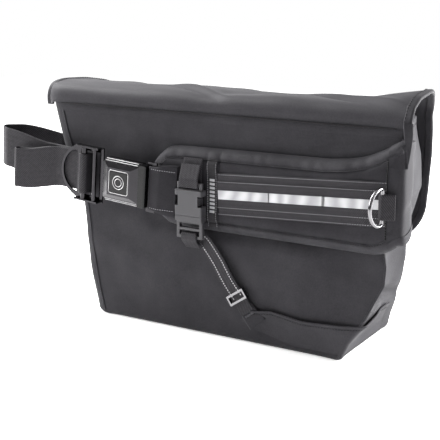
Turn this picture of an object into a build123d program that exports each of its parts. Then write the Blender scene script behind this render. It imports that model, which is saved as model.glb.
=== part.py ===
from build123d import *

import os
from math import atan2, cos, degrees, hypot, radians, sin

# A courier bag with a wide flap, a padded cross-body harness on its back, a push-button main
# buckle with a webbing adjuster, and a side-release clip on a stabilizer strap.
# Millimetres. +Z is up, the harness side faces -Y, and the wearer's far side is +X.
# The origin is the centre of the underside, on the surface that the bag stands on.

# --------------------------------------------------------------------------- driving dimensions
# bag body
BASE_WIDTH = 330.0  # across the bottom
BASE_DEPTH = 150.0  # bottom, back to front
TOP_WIDTH = 470.0  # across the mouth, at the flap's seam
TOP_DEPTH = 118.0  # mouth, back to front
SEAM_HEIGHT = 258.0  # height of the seam that carries the flap
MOUTH_DROP = 8.0  # the front and sides stop this far below the seam, and carry a binding
WALL = 3.0  # face cloth with its padding
LINER = 1.2  # waterproof inner tub
BOARD_THICK = 2.5  # stiffener on the tub's floor
BOARD_MARGIN = 8.0
TAPE_WIDTH = 11.0  # seam tape under the flap's seam
TAPE_THICK = 1.2
PIPING = 2.2

# flap
FLAP_SIDE_REACH = 3.0  # the flap stands this much wider than the body on each side
FLAP_CROWN_RISE = 30.0  # above the seam
FLAP_CROWN_SETBACK = 52.0  # from the back face to the crown
FLAP_FRONT_RISE = 10.0  # the front fold above the seam
FLAP_FRONT_GAP = 10.0  # the front fold stands this far out from the mouth's front edge
FLAP_DROP = 168.0  # from the front fold down to the lower edge
FLAP_FLARE = 24.0  # the lower edge stands this far out from the fold
FLAP_CORNER = 52.0  # radius of the two lower corners
FLAP_SHELL = 1.4
FLAP_LINING = 1.0
FLAP_LEAN = 1.18  # the drop's end face is oblique to the top, which lengthens a depth along it
FLAP_BINDING = 9.0  # width of the edge tape
FLAP_BINDING_PROUD = 0.6  # stands this much above the cloth on each face

# front pocket and closure
POCKET_WIDTH = 240.0
POCKET_LOW = 24.0
POCKET_HIGH = SEAM_HEIGHT - 68.0
POCKET_DEPTH = 8.0
ZIP_THICK = 1.4
ZIP_WIDTH = 5.0
ZIP_LENGTH = 210.0
ZIP_SLIDER_LENGTH = 9.0
ZIP_SLIDER_THICK = 2.0
ZIP_PULL_LENGTH = 18.0
ZIP_PULL_WIDTH = 3.2
STRIP_LENGTH = 90.0  # hook and loop strips, on each side of the middle
STRIP_HEIGHT = 25.0
STRIP_CENTRE_X = 62.0
STRIP_CENTRE_Z = SEAM_HEIGHT - 124.0  # behind the flap, on the pocket
LOOP_THICK = 1.3
HOOK_THICK = 1.0

# anchor of the pad's far end, round the side of the bag
ANCHOR_THICK = 2.0
ANCHOR_X = TOP_WIDTH / 2 + 1.0
ANCHOR_LOW = 137.0
ANCHOR_HIGH = 240.0
ANCHOR_REACH = 40.0  # from the back face to the seam in the side

# shoulder pad
PAD_GAP = 2.0  # between the back panel and the pad
PAD_BACKING = 2.0
PAD_FOAM = 10.0
PAD_FACE = 2.0
PAD_EDGE = 7.0  # width of the bound edge round the foam
PAD_LEFT = -66.0
PAD_RIGHT = ANCHOR_X - 5.0
PAD_BOTTOM = 127.0
PAD_TOP = 220.0
PAD_TOP_RIGHT = 246.0

# webbing on the pad
BASE_WEBBING_WIDTH = 47.0
BASE_WEBBING_THICK = 1.5
DAISY_WIDTH = 30.0
DAISY_THICK = 1.4
STRIPE_WIDTH = 10.0
STRIPE_THICK = 0.6
WEBBING_LEFT = 24.5
WEBBING_RIGHT = PAD_RIGHT - 12.0
WEBBING_HEIGHT = 177.0  # height of its middle above the base
WEBBING_TILT = 3.0  # degrees, rising towards the far side
TACK_POSITIONS = (88.0, 152.0)
TACK_WIDTH = 1.8
TACK_THICK = 0.5
LABEL_LEFT = 9.7
LABEL_WIDTH = 13.0
LABEL_LOW = 134.0
LABEL_HIGH = 210.0
LABEL_THICK = 1.3

# D-ring
RING_WIRE = 2.0  # wire radius
RING_RADIUS = 19.0
RING_CORNER = 3.0
RING_X = WEBBING_RIGHT  # the keeper is sewn to the webbing's far end
RING_HEIGHT = 181.0
RING_SWING = 80.0  # degrees out from the pad, as stored
KEEPER_THICK = 1.2
KEEPER_CLEAR = 0.4
KEEPER_LENGTH = 12.0
KEEPER_SIDE_GAP = 2.0  # from the end of the ring's straight bar

# main buckle, adjuster and shoulder webbing, in the strap's own frame:
# u along the strap towards the pad, v up across it, n out from the bag
BUCKLE_X = -99.0
BUCKLE_OUT = 24.0  # from the back face to the strap frame's origin
BUCKLE_HEIGHT = 174.6
STRAP_TILT = 4.6  # degrees, the strap rises away from the pad
COVER_LEFT = -26.0
COVER_RIGHT = 24.0
COVER_HALF_HEIGHT = 25.0
COVER_HALF_THICK = 9.0
COVER_WALL = 3.0
STEP_IN = 1.8  # each of the cover's steps
BUTTON_SIDE = 25.0
BUTTON_THICK = 4.7
EJECTOR_HALF_WIDTH = BUTTON_SIDE / 2 - 4.5
SPRING_V = BUTTON_SIDE / 2 - 1.5  # the two leaf springs stand beside the ejector
SPRING_WIDTH = 1.2
SPRING_WIRE = 0.5
FRAME_THICK = 2.0
FRAME_HALF_HEIGHT = 33.0
FLANGE_THICK = 2.0
FLANGE_HEIGHT = 7.5
NECK_LEFT = -33.0  # u where the frame narrows to enter the cover
PLATE_LEFT = -70.0  # u where the frame starts to round off
D_LEFT = -95.0  # u of the frame's rounded end
LATCH_THICK = 1.4
TONGUE_THICK = 2.4
TONGUE_HALF_WIDTH = 16.0
TONGUE_TIP = 0.0
TONGUE_END = 44.0
STRAP_WEBBING_WIDTH = 48.0
STRAP_WEBBING_THICK = 1.7
SLIDE_BAR_RADIUS = 3.4
SLIDE_BAR_U = -58.0
FIXED_BAR_RADIUS = 2.6
FIXED_BAR_U = -42.5
STRAP_ANCHOR_X = -(TOP_WIDTH / 2 - 10.0)  # outer face of the block that anchors the shoulder webbing
WRAP_U = STRAP_ANCHOR_X - BUCKLE_X - 4.0  # where that webbing comes down the side

# side-release clip and stabilizer strap
CLIP_X = -8.0
CLIP_OUT = 23.5
CLIP_HEIGHT = 151.0
CLIP_HALF_WIDTH = 17.5
CLIP_HALF_THICK = 5.5
CLIP_WALL = 2.3
CLIP_BAR_HALF_THICK = 2.5
SOCKET_LOW = -5.0  # heights of the clip's parts above its middle
SOCKET_SHOULDER = 24.0
SOCKET_HIGH = 32.0
PLUG_LOW = -31.0
TAB_THICK = 1.6
TAB_WIDTH = 25.0
STABILIZER_WIDTH = 20.0
STABILIZER_THICK = 1.5
STABILIZER_OUT = 10.0
STABILIZER_TOP = (4.0, 118.0)  # x and height of its upper and lower ends
STABILIZER_LOW = (54.0, 44.0)
SLIDER_LENGTH = 12.0
SLIDER_WALL = 1.7
SLIDER_FROM_END = 15.0

# wing that ties the stabilizer strap to the bag's lower corner
WING_THICK = 1.6
WING_HEIGHT = 44.0
WING_REACH = 138.0  # along the side, from the back face

# clearances
RUNNING = 0.4  # between pieces that move past each other

# --------------------------------------------------------------------------- places worked out
Y_BACK = -BASE_DEPTH / 2
Y_FRONT = BASE_DEPTH / 2
Y_FRONT_TOP = Y_BACK + TOP_DEPTH
MOUTH_HEIGHT = SEAM_HEIGHT - MOUTH_DROP
PAD_FACE_OUT = PAD_GAP + PAD_BACKING + PAD_FOAM + PAD_FACE


def half_width(z):
    """Half of the body's width at height z."""
    return (BASE_WIDTH + (TOP_WIDTH - BASE_WIDTH) * z / SEAM_HEIGHT) / 2


def front_face(z):
    """Y of the front panel's outer face at height z."""
    return Y_FRONT + (Y_FRONT_TOP - Y_FRONT) * z / SEAM_HEIGHT


def back_plane(out):
    """Upright plane a distance out from the back face: x to the right, y up, normal outwards."""
    return Plane(origin=(0, Y_BACK - out, 0), x_dir=(1, 0, 0), z_dir=(0, -1, 0))


def side_plane(x):
    """Upright plane across the bag at x: its x is outwards from the back face, its y is up."""
    return Plane(origin=(x, Y_BACK, 0), x_dir=(0, -1, 0), z_dir=(-1, 0, 0))


def save(piece, name):
    """Label a finished piece and write its STEP file."""
    piece.part.label = name
    export_step(piece.part, f"parts/{name}.step")


def sloping_block(z_low, z_high, outline):
    """Block between two heights. outline(z) gives its x and y limits at a height."""
    with BuildPart() as block:
        for z in (z_low, z_high):
            x_low, x_high, y_low, y_high = outline(z)
            with BuildSketch(Plane.XY.offset(z)):
                with Locations(((x_low + x_high) / 2, (y_low + y_high) / 2)):
                    Rectangle(x_high - x_low, y_high - y_low)
        loft(ruled=True)
    return block


def ribbon(plane, path, radii, thick, width):
    """Strip of webbing: a rounded path in the plane, given a thickness and a width across it."""
    with BuildPart() as strip:
        with BuildSketch(plane):
            with BuildLine():
                FilletPolyline(*path, radius=radii)
            trace(line_width=thick)
        extrude(amount=width / 2, both=True)
    return strip


os.makedirs("parts", exist_ok=True)

# --------------------------------------------------------------------------- bag body
back_panel = sloping_block(
    0, SEAM_HEIGHT, lambda z: (-half_width(z), half_width(z), Y_BACK, Y_BACK + WALL)
)
save(back_panel, "back_panel")

front_panel = sloping_block(
    0, MOUTH_HEIGHT, lambda z: (-half_width(z), half_width(z), front_face(z) - WALL, front_face(z))
)
save(front_panel, "front_panel")


def gusset_outline(side, inner, outer):
    """Limits of a layer on a side panel, from inner to outer, measured out from its outer face."""

    def outline(z):
        near, far = side * (half_width(z) + inner), side * (half_width(z) + outer)
        return min(near, far), max(near, far), Y_BACK + WALL, front_face(z) - WALL

    return outline


for side, name in ((-1, "gusset_left"), (1, "gusset_right")):
    gusset = sloping_block(0, MOUTH_HEIGHT, gusset_outline(side, -WALL, 0))
    save(gusset, name)


def inside(margin):
    """Limits of the space inside the four walls, less a margin."""

    def outline(z):
        x = half_width(z) - WALL - margin
        return -x, x, Y_BACK + WALL + margin, front_face(z) - WALL - margin

    return outline


base_panel = sloping_block(0, WALL, inside(0))
save(base_panel, "base_panel")

with BuildPart() as liner:
    add(sloping_block(WALL, MOUTH_HEIGHT, inside(0)).part)
    add(sloping_block(WALL + LINER, MOUTH_HEIGHT, inside(LINER)).part, mode=Mode.SUBTRACT)
save(liner, "liner")

base_board = sloping_block(
    WALL + LINER, WALL + LINER + BOARD_THICK, inside(LINER + BOARD_MARGIN)
)
save(base_board, "base_board")


def mouth_outline(margin):
    """Limits of the mouth's three free edges. The back is left open for the back panel."""

    def outline(z):
        x = half_width(z) + margin
        return -x, x, Y_BACK + WALL, front_face(z) + margin

    return outline


with BuildPart() as mouth_binding:
    add(sloping_block(MOUTH_HEIGHT, SEAM_HEIGHT - RUNNING, mouth_outline(0.8)).part)
    add(
        sloping_block(MOUTH_HEIGHT, SEAM_HEIGHT - RUNNING, mouth_outline(-WALL - LINER)).part,
        mode=Mode.SUBTRACT,
    )
save(mouth_binding, "mouth_binding")

seam_tape = sloping_block(
    SEAM_HEIGHT - TAPE_WIDTH,
    SEAM_HEIGHT - RUNNING,
    lambda z: (-half_width(z), half_width(z), Y_BACK - TAPE_THICK, Y_BACK),
)
save(seam_tape, "seam_tape")


def piping_outline(side):
    """Limits of the cord sewn down one back corner."""

    def outline(z):
        near, far = side * half_width(z), side * (half_width(z) + PIPING)
        return min(near, far), max(near, far), Y_BACK, Y_BACK + PIPING

    return outline


with BuildPart() as back_piping:
    for side in (-1, 1):
        add(sloping_block(0, SEAM_HEIGHT - TAPE_WIDTH, piping_outline(side)).part)
save(back_piping, "back_piping")

# --------------------------------------------------------------------------- front pocket
front_pocket = sloping_block(
    POCKET_LOW,
    POCKET_HIGH,
    lambda z: (-POCKET_WIDTH / 2, POCKET_WIDTH / 2, front_face(z), front_face(z) + POCKET_DEPTH),
)
save(front_pocket, "front_pocket")

zip_y = front_face(POCKET_HIGH) + POCKET_DEPTH / 2
with BuildPart() as pocket_zip:
    with BuildSketch(Plane.XY.offset(POCKET_HIGH)):
        with Locations((0, zip_y)):
            Rectangle(ZIP_LENGTH, ZIP_WIDTH)
    extrude(amount=ZIP_THICK)
save(pocket_zip, "pocket_zip")

with BuildPart() as zip_slider:
    with BuildSketch(Plane.XY.offset(POCKET_HIGH + ZIP_THICK + RUNNING)):
        with Locations((-ZIP_LENGTH / 2 + ZIP_SLIDER_LENGTH / 2, zip_y)):
            RectangleRounded(ZIP_SLIDER_LENGTH, ZIP_WIDTH, 1.5)
        with Locations((-ZIP_LENGTH / 2 + ZIP_SLIDER_LENGTH + 8.0, zip_y)):
            RectangleRounded(ZIP_PULL_LENGTH, ZIP_PULL_WIDTH, 1.5)
    extrude(amount=ZIP_SLIDER_THICK)
save(zip_slider, "zip_slider")

loop_strips_z = (STRIP_CENTRE_Z - STRIP_HEIGHT / 2, STRIP_CENTRE_Z + STRIP_HEIGHT / 2)
with BuildPart() as loop_strips:
    for side in (-1, 1):
        x = side * STRIP_CENTRE_X
        add(
            sloping_block(
                *loop_strips_z,
                lambda z: (
                    x - STRIP_LENGTH / 2,
                    x + STRIP_LENGTH / 2,
                    front_face(z) + POCKET_DEPTH,
                    front_face(z) + POCKET_DEPTH + LOOP_THICK,
                ),
            ).part
        )
save(loop_strips, "loop_strips")

# --------------------------------------------------------------------------- flap
# The flap's outer face in section, as distances from the back face and heights.
HINGE = (Y_BACK - TAPE_THICK, SEAM_HEIGHT)
CROWN = (Y_BACK + FLAP_CROWN_SETBACK, SEAM_HEIGHT + FLAP_CROWN_RISE)
FOLD = (Y_FRONT_TOP + FLAP_FRONT_GAP, SEAM_HEIGHT + FLAP_FRONT_RISE)
HEM = (FOLD[0] + FLAP_FLARE, FOLD[1] - FLAP_DROP)
FLAP_HALF = TOP_WIDTH / 2 + FLAP_SIDE_REACH
drop_length = hypot(HEM[0] - FOLD[0], HEM[1] - FOLD[1])
drop_dir = ((HEM[0] - FOLD[0]) / drop_length, (HEM[1] - FOLD[1]) / drop_length)
inward = (drop_dir[1], -drop_dir[0])  # from the outer face of the drop towards the bag
FLAP_THICK = FLAP_SHELL + FLAP_LINING
section_plane = Plane(origin=(0, 0, 0), x_dir=(0, 1, 0), z_dir=(1, 0, 0))


def flap_arc_points(depth):
    """Hinge, crown and fold ends of the flap's top at a depth below its outer face.

    The fold end slides along the drop's end face, so that top and drop meet on one plane.
    """
    along = depth * FLAP_LEAN
    fold = (FOLD[0] + inward[0] * along, FOLD[1] + inward[1] * along)
    return (HINGE[0] + depth, HINGE[1] + RUNNING), (CROWN[0], CROWN[1] - depth), fold


def flap_top_layer(upper, lower, strips):
    """Layer of the flap's top between two depths, over spans in x."""
    with BuildPart() as layer:
        for x_low, x_high in strips:
            with BuildSketch(section_plane.offset(x_low)):
                with BuildLine():
                    a, b, c = flap_arc_points(upper)
                    d, e, f = flap_arc_points(lower)
                    ThreePointArc(a, b, c)
                    Line(c, f)
                    ThreePointArc(f, e, d)
                    Line(d, a)
                make_face()
            extrude(amount=x_high - x_low)
    return layer


inner_half = FLAP_HALF - FLAP_BINDING
flap_top_shell = flap_top_layer(0, FLAP_SHELL, [(-inner_half, inner_half)])
save(flap_top_shell, "flap_top_shell")

flap_top_lining = flap_top_layer(FLAP_SHELL, FLAP_THICK, [(-inner_half, inner_half)])
save(flap_top_lining, "flap_top_lining")

flap_top_binding = flap_top_layer(
    0, FLAP_THICK + FLAP_BINDING_PROUD, [(-FLAP_HALF, -inner_half), (inner_half, FLAP_HALF)]
)
save(flap_top_binding, "flap_top_binding")

# The drop is drawn on its own plane: x along the bag, y up along the drop, from the fold down.
DROP_PLANE = Plane(
    origin=(0, FOLD[0], FOLD[1]), x_dir=(1, 0, 0), z_dir=(0, inward[0], inward[1])
)
hem_half = half_width(HEM[1]) + FLAP_SIDE_REACH


def drop_outline(inset):
    """Face of the drop, pulled in from the sides and the hem by an inset."""
    top, low = -RUNNING, -(drop_length - inset)
    with BuildSketch() as face:
        with BuildLine():
            Polyline(
                (-FLAP_HALF + inset, top),
                (FLAP_HALF - inset, top),
                (hem_half - inset, low),
                (-hem_half + inset, low),
                close=True,
            )
        make_face()
        fillet(face.vertices().group_by(Axis.Y)[0], FLAP_CORNER - inset)
    return face.sketch


def drop_layer(start, thick, inset):
    """Layer of the drop, start and thickness measured inwards from its outer face."""
    with BuildPart() as layer:
        with BuildSketch(DROP_PLANE.offset(start)):
            add(drop_outline(inset))
        extrude(amount=thick)
    return layer


flap_front_shell = drop_layer(0, FLAP_SHELL, FLAP_BINDING)
save(flap_front_shell, "flap_front_shell")

flap_front_lining = drop_layer(FLAP_SHELL, FLAP_LINING, FLAP_BINDING)
save(flap_front_lining, "flap_front_lining")

with BuildPart() as flap_front_binding:
    add(drop_layer(0, FLAP_THICK + FLAP_BINDING_PROUD, 0).part)
    add(drop_layer(0, FLAP_THICK + FLAP_BINDING_PROUD, FLAP_BINDING).part, mode=Mode.SUBTRACT)
save(flap_front_binding, "flap_front_binding")

with BuildPart() as hook_strips:
    with BuildSketch(DROP_PLANE.offset(FLAP_THICK)):
        along = (FOLD[1] - STRIP_CENTRE_Z) / drop_dir[1]
        with Locations((-STRIP_CENTRE_X, along), (STRIP_CENTRE_X, along)):
            Rectangle(STRIP_LENGTH, STRIP_HEIGHT)
    extrude(amount=HOOK_THICK)
save(hook_strips, "hook_strips")

# --------------------------------------------------------------------------- shoulder pad
pad_points = [
    (PAD_LEFT + 20, PAD_BOTTOM + 1),
    (PAD_LEFT, PAD_BOTTOM + 24),
    (PAD_LEFT, PAD_TOP - 20),
    (PAD_LEFT + 20, PAD_TOP - 2),
    (150, PAD_TOP),
    (200, PAD_TOP + 8),
    (PAD_RIGHT, PAD_TOP_RIGHT),
    (PAD_RIGHT, PAD_BOTTOM + 14),
    (PAD_RIGHT - 26, PAD_BOTTOM),
]


def pad_layer(out, thick, inset=0.0, hollow=False):
    """Layer of the pad. hollow keeps only the band between the outline and the inset."""
    with BuildPart() as layer:
        with BuildSketch(back_plane(out)) as face:
            with BuildLine():
                Polyline(*pad_points, close=True)
            make_face()
            if inset and not hollow:
                offset(amount=-inset, kind=Kind.INTERSECTION)
            if hollow:
                offset(amount=-inset, kind=Kind.INTERSECTION, mode=Mode.SUBTRACT)
        extrude(amount=thick)
    return layer


pad_backing = pad_layer(PAD_GAP, PAD_BACKING)
save(pad_backing, "pad_backing")
pad_foam = pad_layer(PAD_GAP + PAD_BACKING, PAD_FOAM, PAD_EDGE)
save(pad_foam, "pad_foam")
pad_edge = pad_layer(PAD_GAP + PAD_BACKING, PAD_FOAM, PAD_EDGE, hollow=True)
save(pad_edge, "pad_edge")
pad_face = pad_layer(PAD_GAP + PAD_BACKING + PAD_FOAM, PAD_FACE)
save(pad_face, "pad_face")


def pad_strip(out, thick, width, left=WEBBING_LEFT, right=WEBBING_RIGHT):
    """Strip sewn along the pad, tilted with the webbing."""
    with BuildPart() as strip:
        with BuildSketch(back_plane(out)):
            with Locations(((left + right) / 2, WEBBING_HEIGHT)):
                Rectangle(right - left, width, rotation=WEBBING_TILT)
        extrude(amount=thick)
    return strip


webbing_out = PAD_FACE_OUT
save(pad_strip(webbing_out, BASE_WEBBING_THICK, BASE_WEBBING_WIDTH), "pad_webbing")
daisy_out = webbing_out + BASE_WEBBING_THICK
save(pad_strip(daisy_out, DAISY_THICK, DAISY_WIDTH), "daisy_webbing")
stripe_out = daisy_out + DAISY_THICK
save(pad_strip(stripe_out, STRIPE_THICK, STRIPE_WIDTH), "reflective_strip")
tack_out = stripe_out + STRIPE_THICK

with BuildPart() as bartacks:
    with BuildSketch(back_plane(tack_out)):
        middle = (WEBBING_LEFT + WEBBING_RIGHT) / 2
        for x in TACK_POSITIONS:
            rise = (x - middle) * sin(radians(WEBBING_TILT))
            with Locations((x, WEBBING_HEIGHT + rise)):
                Rectangle(TACK_WIDTH, STRIPE_WIDTH - 1.5)
    extrude(amount=TACK_THICK)
save(bartacks, "bartacks")

with BuildPart() as label_tab:
    with BuildSketch(back_plane(PAD_FACE_OUT)):
        with Locations((LABEL_LEFT + LABEL_WIDTH / 2, (LABEL_LOW + LABEL_HIGH) / 2)):
            Rectangle(LABEL_WIDTH, LABEL_HIGH - LABEL_LOW)
    extrude(amount=LABEL_THICK)
save(label_tab, "label_tab")

# --------------------------------------------------------------------------- D-ring
ring_out = tack_out + KEEPER_THICK + KEEPER_CLEAR + RING_WIRE
swing = radians(RING_SWING)
RING_PLANE = Plane(
    origin=(RING_X, Y_BACK - ring_out, RING_HEIGHT),
    x_dir=(-cos(swing), -sin(swing), 0),
    z_dir=(-sin(swing), cos(swing), 0),
)
with BuildPart() as d_ring:
    with BuildLine(RING_PLANE) as ring_path:
        straight = RING_RADIUS - RING_CORNER
        bar = Line((0, -straight), (0, straight))
        upper = RadiusArc((0, straight), (RING_CORNER, RING_RADIUS), RING_CORNER)
        bow = ThreePointArc(
            (RING_CORNER, RING_RADIUS),
            (RING_CORNER + RING_RADIUS, 0),
            (RING_CORNER, -RING_RADIUS),
        )
        lower = RadiusArc((RING_CORNER, -RING_RADIUS), (0, -straight), RING_CORNER)
    with BuildSketch(Plane(origin=ring_path.line @ 0, z_dir=ring_path.line % 0)):
        Circle(RING_WIRE)
    sweep(path=ring_path.line)
save(d_ring, "d_ring")

keeper_radius = RING_WIRE + KEEPER_CLEAR + KEEPER_THICK / 2
KEEPER_PLANE = Plane(
    origin=(RING_X, Y_BACK - ring_out, RING_HEIGHT), x_dir=(1, 0, 0), z_dir=(0, 0, -1)
)
with BuildPart() as d_ring_keeper:
    with BuildSketch(KEEPER_PLANE):
        with BuildLine():
            Line((KEEPER_LENGTH, keeper_radius), (0, keeper_radius))
            ThreePointArc((0, keeper_radius), (-keeper_radius, 0), (0, -keeper_radius))
            Line((0, -keeper_radius), (KEEPER_LENGTH, -keeper_radius))
        trace(line_width=KEEPER_THICK)
    extrude(amount=straight - KEEPER_SIDE_GAP, both=True)
save(d_ring_keeper, "d_ring_keeper")

# --------------------------------------------------------------------------- anchor at the side
anchor_out = PAD_FACE_OUT - ANCHOR_THICK / 2
with BuildPart() as anchor_wrap:
    with BuildSketch(Plane.XY.offset(ANCHOR_LOW)):
        with BuildLine():
            FilletPolyline(
                (PAD_RIGHT, Y_BACK - anchor_out),
                (ANCHOR_X, Y_BACK - anchor_out),
                (ANCHOR_X, Y_BACK + ANCHOR_REACH),
                radius=(ANCHOR_X - PAD_RIGHT) * 0.8,
            )
        trace(line_width=ANCHOR_THICK)
    extrude(amount=ANCHOR_HIGH - ANCHOR_LOW)
    add(
        sloping_block(
            ANCHOR_LOW,
            ANCHOR_HIGH,
            lambda z: (
                half_width(z),
                ANCHOR_X + ANCHOR_THICK / 2,
                Y_BACK + ANCHOR_REACH,
                Y_BACK + ANCHOR_REACH + WALL,
            ),
        ).part
    )
save(anchor_wrap, "anchor_wrap")

# --------------------------------------------------------------------------- strap frame
tilt = radians(STRAP_TILT)
STRAP_ORIGIN = (BUCKLE_X, Y_BACK - BUCKLE_OUT, BUCKLE_HEIGHT)
STRAP_FACE = Plane(origin=STRAP_ORIGIN, x_dir=(cos(tilt), 0, -sin(tilt)), z_dir=(0, -1, 0))
STRAP_EDGE = Plane(
    origin=STRAP_ORIGIN, x_dir=(cos(tilt), 0, -sin(tilt)), z_dir=(-sin(tilt), 0, -cos(tilt))
)


def strap_box(u, v, n, mode=Mode.ADD):
    """Box in the strap's frame, from its limits along u, v and n."""
    centre = [(low + high) / 2 for low, high in (u, v, n)]
    with BuildPart(mode=Mode.PRIVATE) as box:
        with BuildSketch(STRAP_FACE.offset(n[0])):
            with Locations((centre[0], centre[1])):
                Rectangle(u[1] - u[0], v[1] - v[0])
        extrude(amount=n[1] - n[0])
    add(box.part, mode=mode)


# --------------------------------------------------------------------------- buckle and adjuster
frame_low = -6.0  # n of the steel frame's back
frame_high = frame_low + FRAME_THICK
tongue_low = frame_high + RUNNING
tongue_high = tongue_low + TONGUE_THICK
cavity_half = COVER_HALF_HEIGHT - 6.5
step_top = 4.5  # n where the cover's bevel starts
button_low = step_top
cover_mid = (COVER_LEFT + COVER_RIGHT) / 2
cover_length = COVER_RIGHT - COVER_LEFT

with BuildPart() as buckle_cover:
    for thick_range, inset in (
        ((-COVER_HALF_THICK, -2.0), 0.0),
        ((-2.0, 1.5), STEP_IN),
        ((1.5, step_top), 2 * STEP_IN),
    ):
        reach = COVER_HALF_HEIGHT - inset
        strap_box((COVER_LEFT, COVER_RIGHT), (-reach, reach), thick_range)
    crown_side = BUTTON_SIDE + 7
    for n, length, height in (
        (step_top, cover_length, 2 * (COVER_HALF_HEIGHT - 2 * STEP_IN)),
        (COVER_HALF_THICK, crown_side, crown_side),
    ):
        with BuildSketch(STRAP_FACE.offset(n)):
            with Locations((cover_mid, 0)):
                Rectangle(length, height)
    loft(ruled=True)
    ends = buckle_cover.edges().filter_by(lambda e: abs(e.tangent_at(0.5).Y) > 0.99)
    fillet(ends, 0.8)
    strap_box(
        (COVER_LEFT + COVER_WALL, COVER_RIGHT + 1),
        (-cavity_half, cavity_half),
        (frame_low - 1, step_top - 0.5),
        mode=Mode.SUBTRACT,
    )
    window = BUTTON_SIDE / 2 + RUNNING / 2
    strap_box(
        (cover_mid - window, cover_mid + window),
        (-window, window),
        (step_top - 1, COVER_HALF_THICK + 1),
        mode=Mode.SUBTRACT,
    )
    strap_box(
        (COVER_LEFT - 1, COVER_LEFT + COVER_WALL + 1),
        (-cavity_half, cavity_half),
        (frame_low - RUNNING / 2, frame_high + RUNNING / 2),
        mode=Mode.SUBTRACT,
    )
save(buckle_cover, "buckle_cover")

window_left = SLIDE_BAR_U - 8.0
window_right = FIXED_BAR_U + 4.5
with BuildPart() as buckle_frame:
    with BuildSketch(STRAP_FACE.offset(frame_low)):
        with BuildLine():
            Line((NECK_LEFT, FRAME_HALF_HEIGHT), (PLATE_LEFT, FRAME_HALF_HEIGHT))
            Line((PLATE_LEFT, FRAME_HALF_HEIGHT), (PLATE_LEFT - 9, FRAME_HALF_HEIGHT - 5))
            ThreePointArc(
                (PLATE_LEFT - 9, FRAME_HALF_HEIGHT - 5),
                (D_LEFT, 0),
                (PLATE_LEFT - 9, 5 - FRAME_HALF_HEIGHT),
            )
            Line((PLATE_LEFT - 9, 5 - FRAME_HALF_HEIGHT), (PLATE_LEFT, -FRAME_HALF_HEIGHT))
            Line((PLATE_LEFT, -FRAME_HALF_HEIGHT), (NECK_LEFT, -FRAME_HALF_HEIGHT))
            Line((NECK_LEFT, -FRAME_HALF_HEIGHT), (NECK_LEFT, FRAME_HALF_HEIGHT))
        make_face()
        with Locations(((NECK_LEFT + COVER_RIGHT - 3) / 2, 0)):
            Rectangle(COVER_RIGHT - 3 - NECK_LEFT, 2 * cavity_half - 1)
        with BuildLine():
            ThreePointArc((-78, 24), (D_LEFT + 3, 0), (-78, -24))
            Line((-78, -24), (window_left - 5, -26))
            Line((window_left - 5, -26), (window_left - 5, 26))
            Line((window_left - 5, 26), (-78, 24))
        make_face(mode=Mode.SUBTRACT)
        with Locations(((window_left + window_right) / 2, 0)):
            Rectangle(window_right - window_left, 2 * 27.0, mode=Mode.SUBTRACT)
        with Locations((-30, 0)):
            SlotOverall(18, 2.6, rotation=90, mode=Mode.SUBTRACT)
    extrude(amount=FRAME_THICK)
    for side in (-1, 1):
        edge = sorted((side * (FRAME_HALF_HEIGHT - FLANGE_THICK), side * FRAME_HALF_HEIGHT))
        strap_box((PLATE_LEFT, NECK_LEFT - 3), edge, (frame_low, frame_high + FLANGE_HEIGHT))
save(buckle_frame, "buckle_frame")

between_flanges = FRAME_HALF_HEIGHT - FLANGE_THICK
with BuildPart() as adjuster_fixed_bar:
    with BuildSketch(STRAP_EDGE):
        with Locations((FIXED_BAR_U, 0)):
            Circle(FIXED_BAR_RADIUS)
    extrude(amount=between_flanges, both=True)
save(adjuster_fixed_bar, "adjuster_fixed_bar")

with BuildPart() as adjuster_slide_bar:
    with BuildSketch(STRAP_EDGE):
        with Locations((SLIDE_BAR_U, 0)):
            Circle(SLIDE_BAR_RADIUS)
    extrude(amount=between_flanges - RUNNING, both=True)
save(adjuster_slide_bar, "adjuster_slide_bar")

# Webbing threaded round the slide bar: out of the window on one side and back in on the other.
half_webbing = STRAP_WEBBING_THICK / 2
round_bar = SLIDE_BAR_RADIUS + RUNNING + half_webbing
tail_n = frame_low - RUNNING - half_webbing - 1.0
load_n = tail_n - STRAP_WEBBING_THICK - 1.0
joint_u = window_left - 2.0  # where the threaded stretch hands over to tail and shoulder webbing
bar_webbing = ribbon(
    STRAP_EDGE,
    [
        (joint_u, tail_n),
        (SLIDE_BAR_U - round_bar, tail_n),
        (SLIDE_BAR_U - round_bar, round_bar + 0.2),
        (SLIDE_BAR_U + round_bar, round_bar + 0.2),
        (SLIDE_BAR_U + round_bar, load_n),
        (joint_u, load_n),
    ],
    (1.2, 3.6, 3.6, 1.6),
    STRAP_WEBBING_THICK,
    STRAP_WEBBING_WIDTH,
)
save(bar_webbing, "bar_webbing")

tail_u = joint_u - RUNNING
strap_tail = ribbon(
    STRAP_EDGE,
    [
        (tail_u, tail_n),
        (-102, tail_n + 1),
        (-158, tail_n + 17),
        (-163, tail_n + 7),
        (-112, tail_n - 0.8),
    ],
    (40, 4.5, 4.5),
    STRAP_WEBBING_THICK,
    STRAP_WEBBING_WIDTH,
)
save(strap_tail, "strap_tail")

shoulder_webbing = ribbon(
    STRAP_EDGE,
    [
        (tail_u, load_n - 2.3),
        (-112, load_n - 4),
        (WRAP_U - 58, load_n + 2),
        (WRAP_U - 76, load_n - 10),
        (WRAP_U - 60, load_n - 32),
        (WRAP_U - 13, load_n - 50),
        (WRAP_U, load_n - 62),
        (WRAP_U, load_n - 82),
    ],
    (60, 12, 10, 20, 14, 10),
    STRAP_WEBBING_THICK,
    STRAP_WEBBING_WIDTH,
)
save(shoulder_webbing, "shoulder_webbing")

strap_anchor = sloping_block(
    162,
    206,
    lambda z: (STRAP_ANCHOR_X, -half_width(z), Y_BACK + 50, Y_BACK + 66),
)
save(strap_anchor, "strap_anchor")

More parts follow.
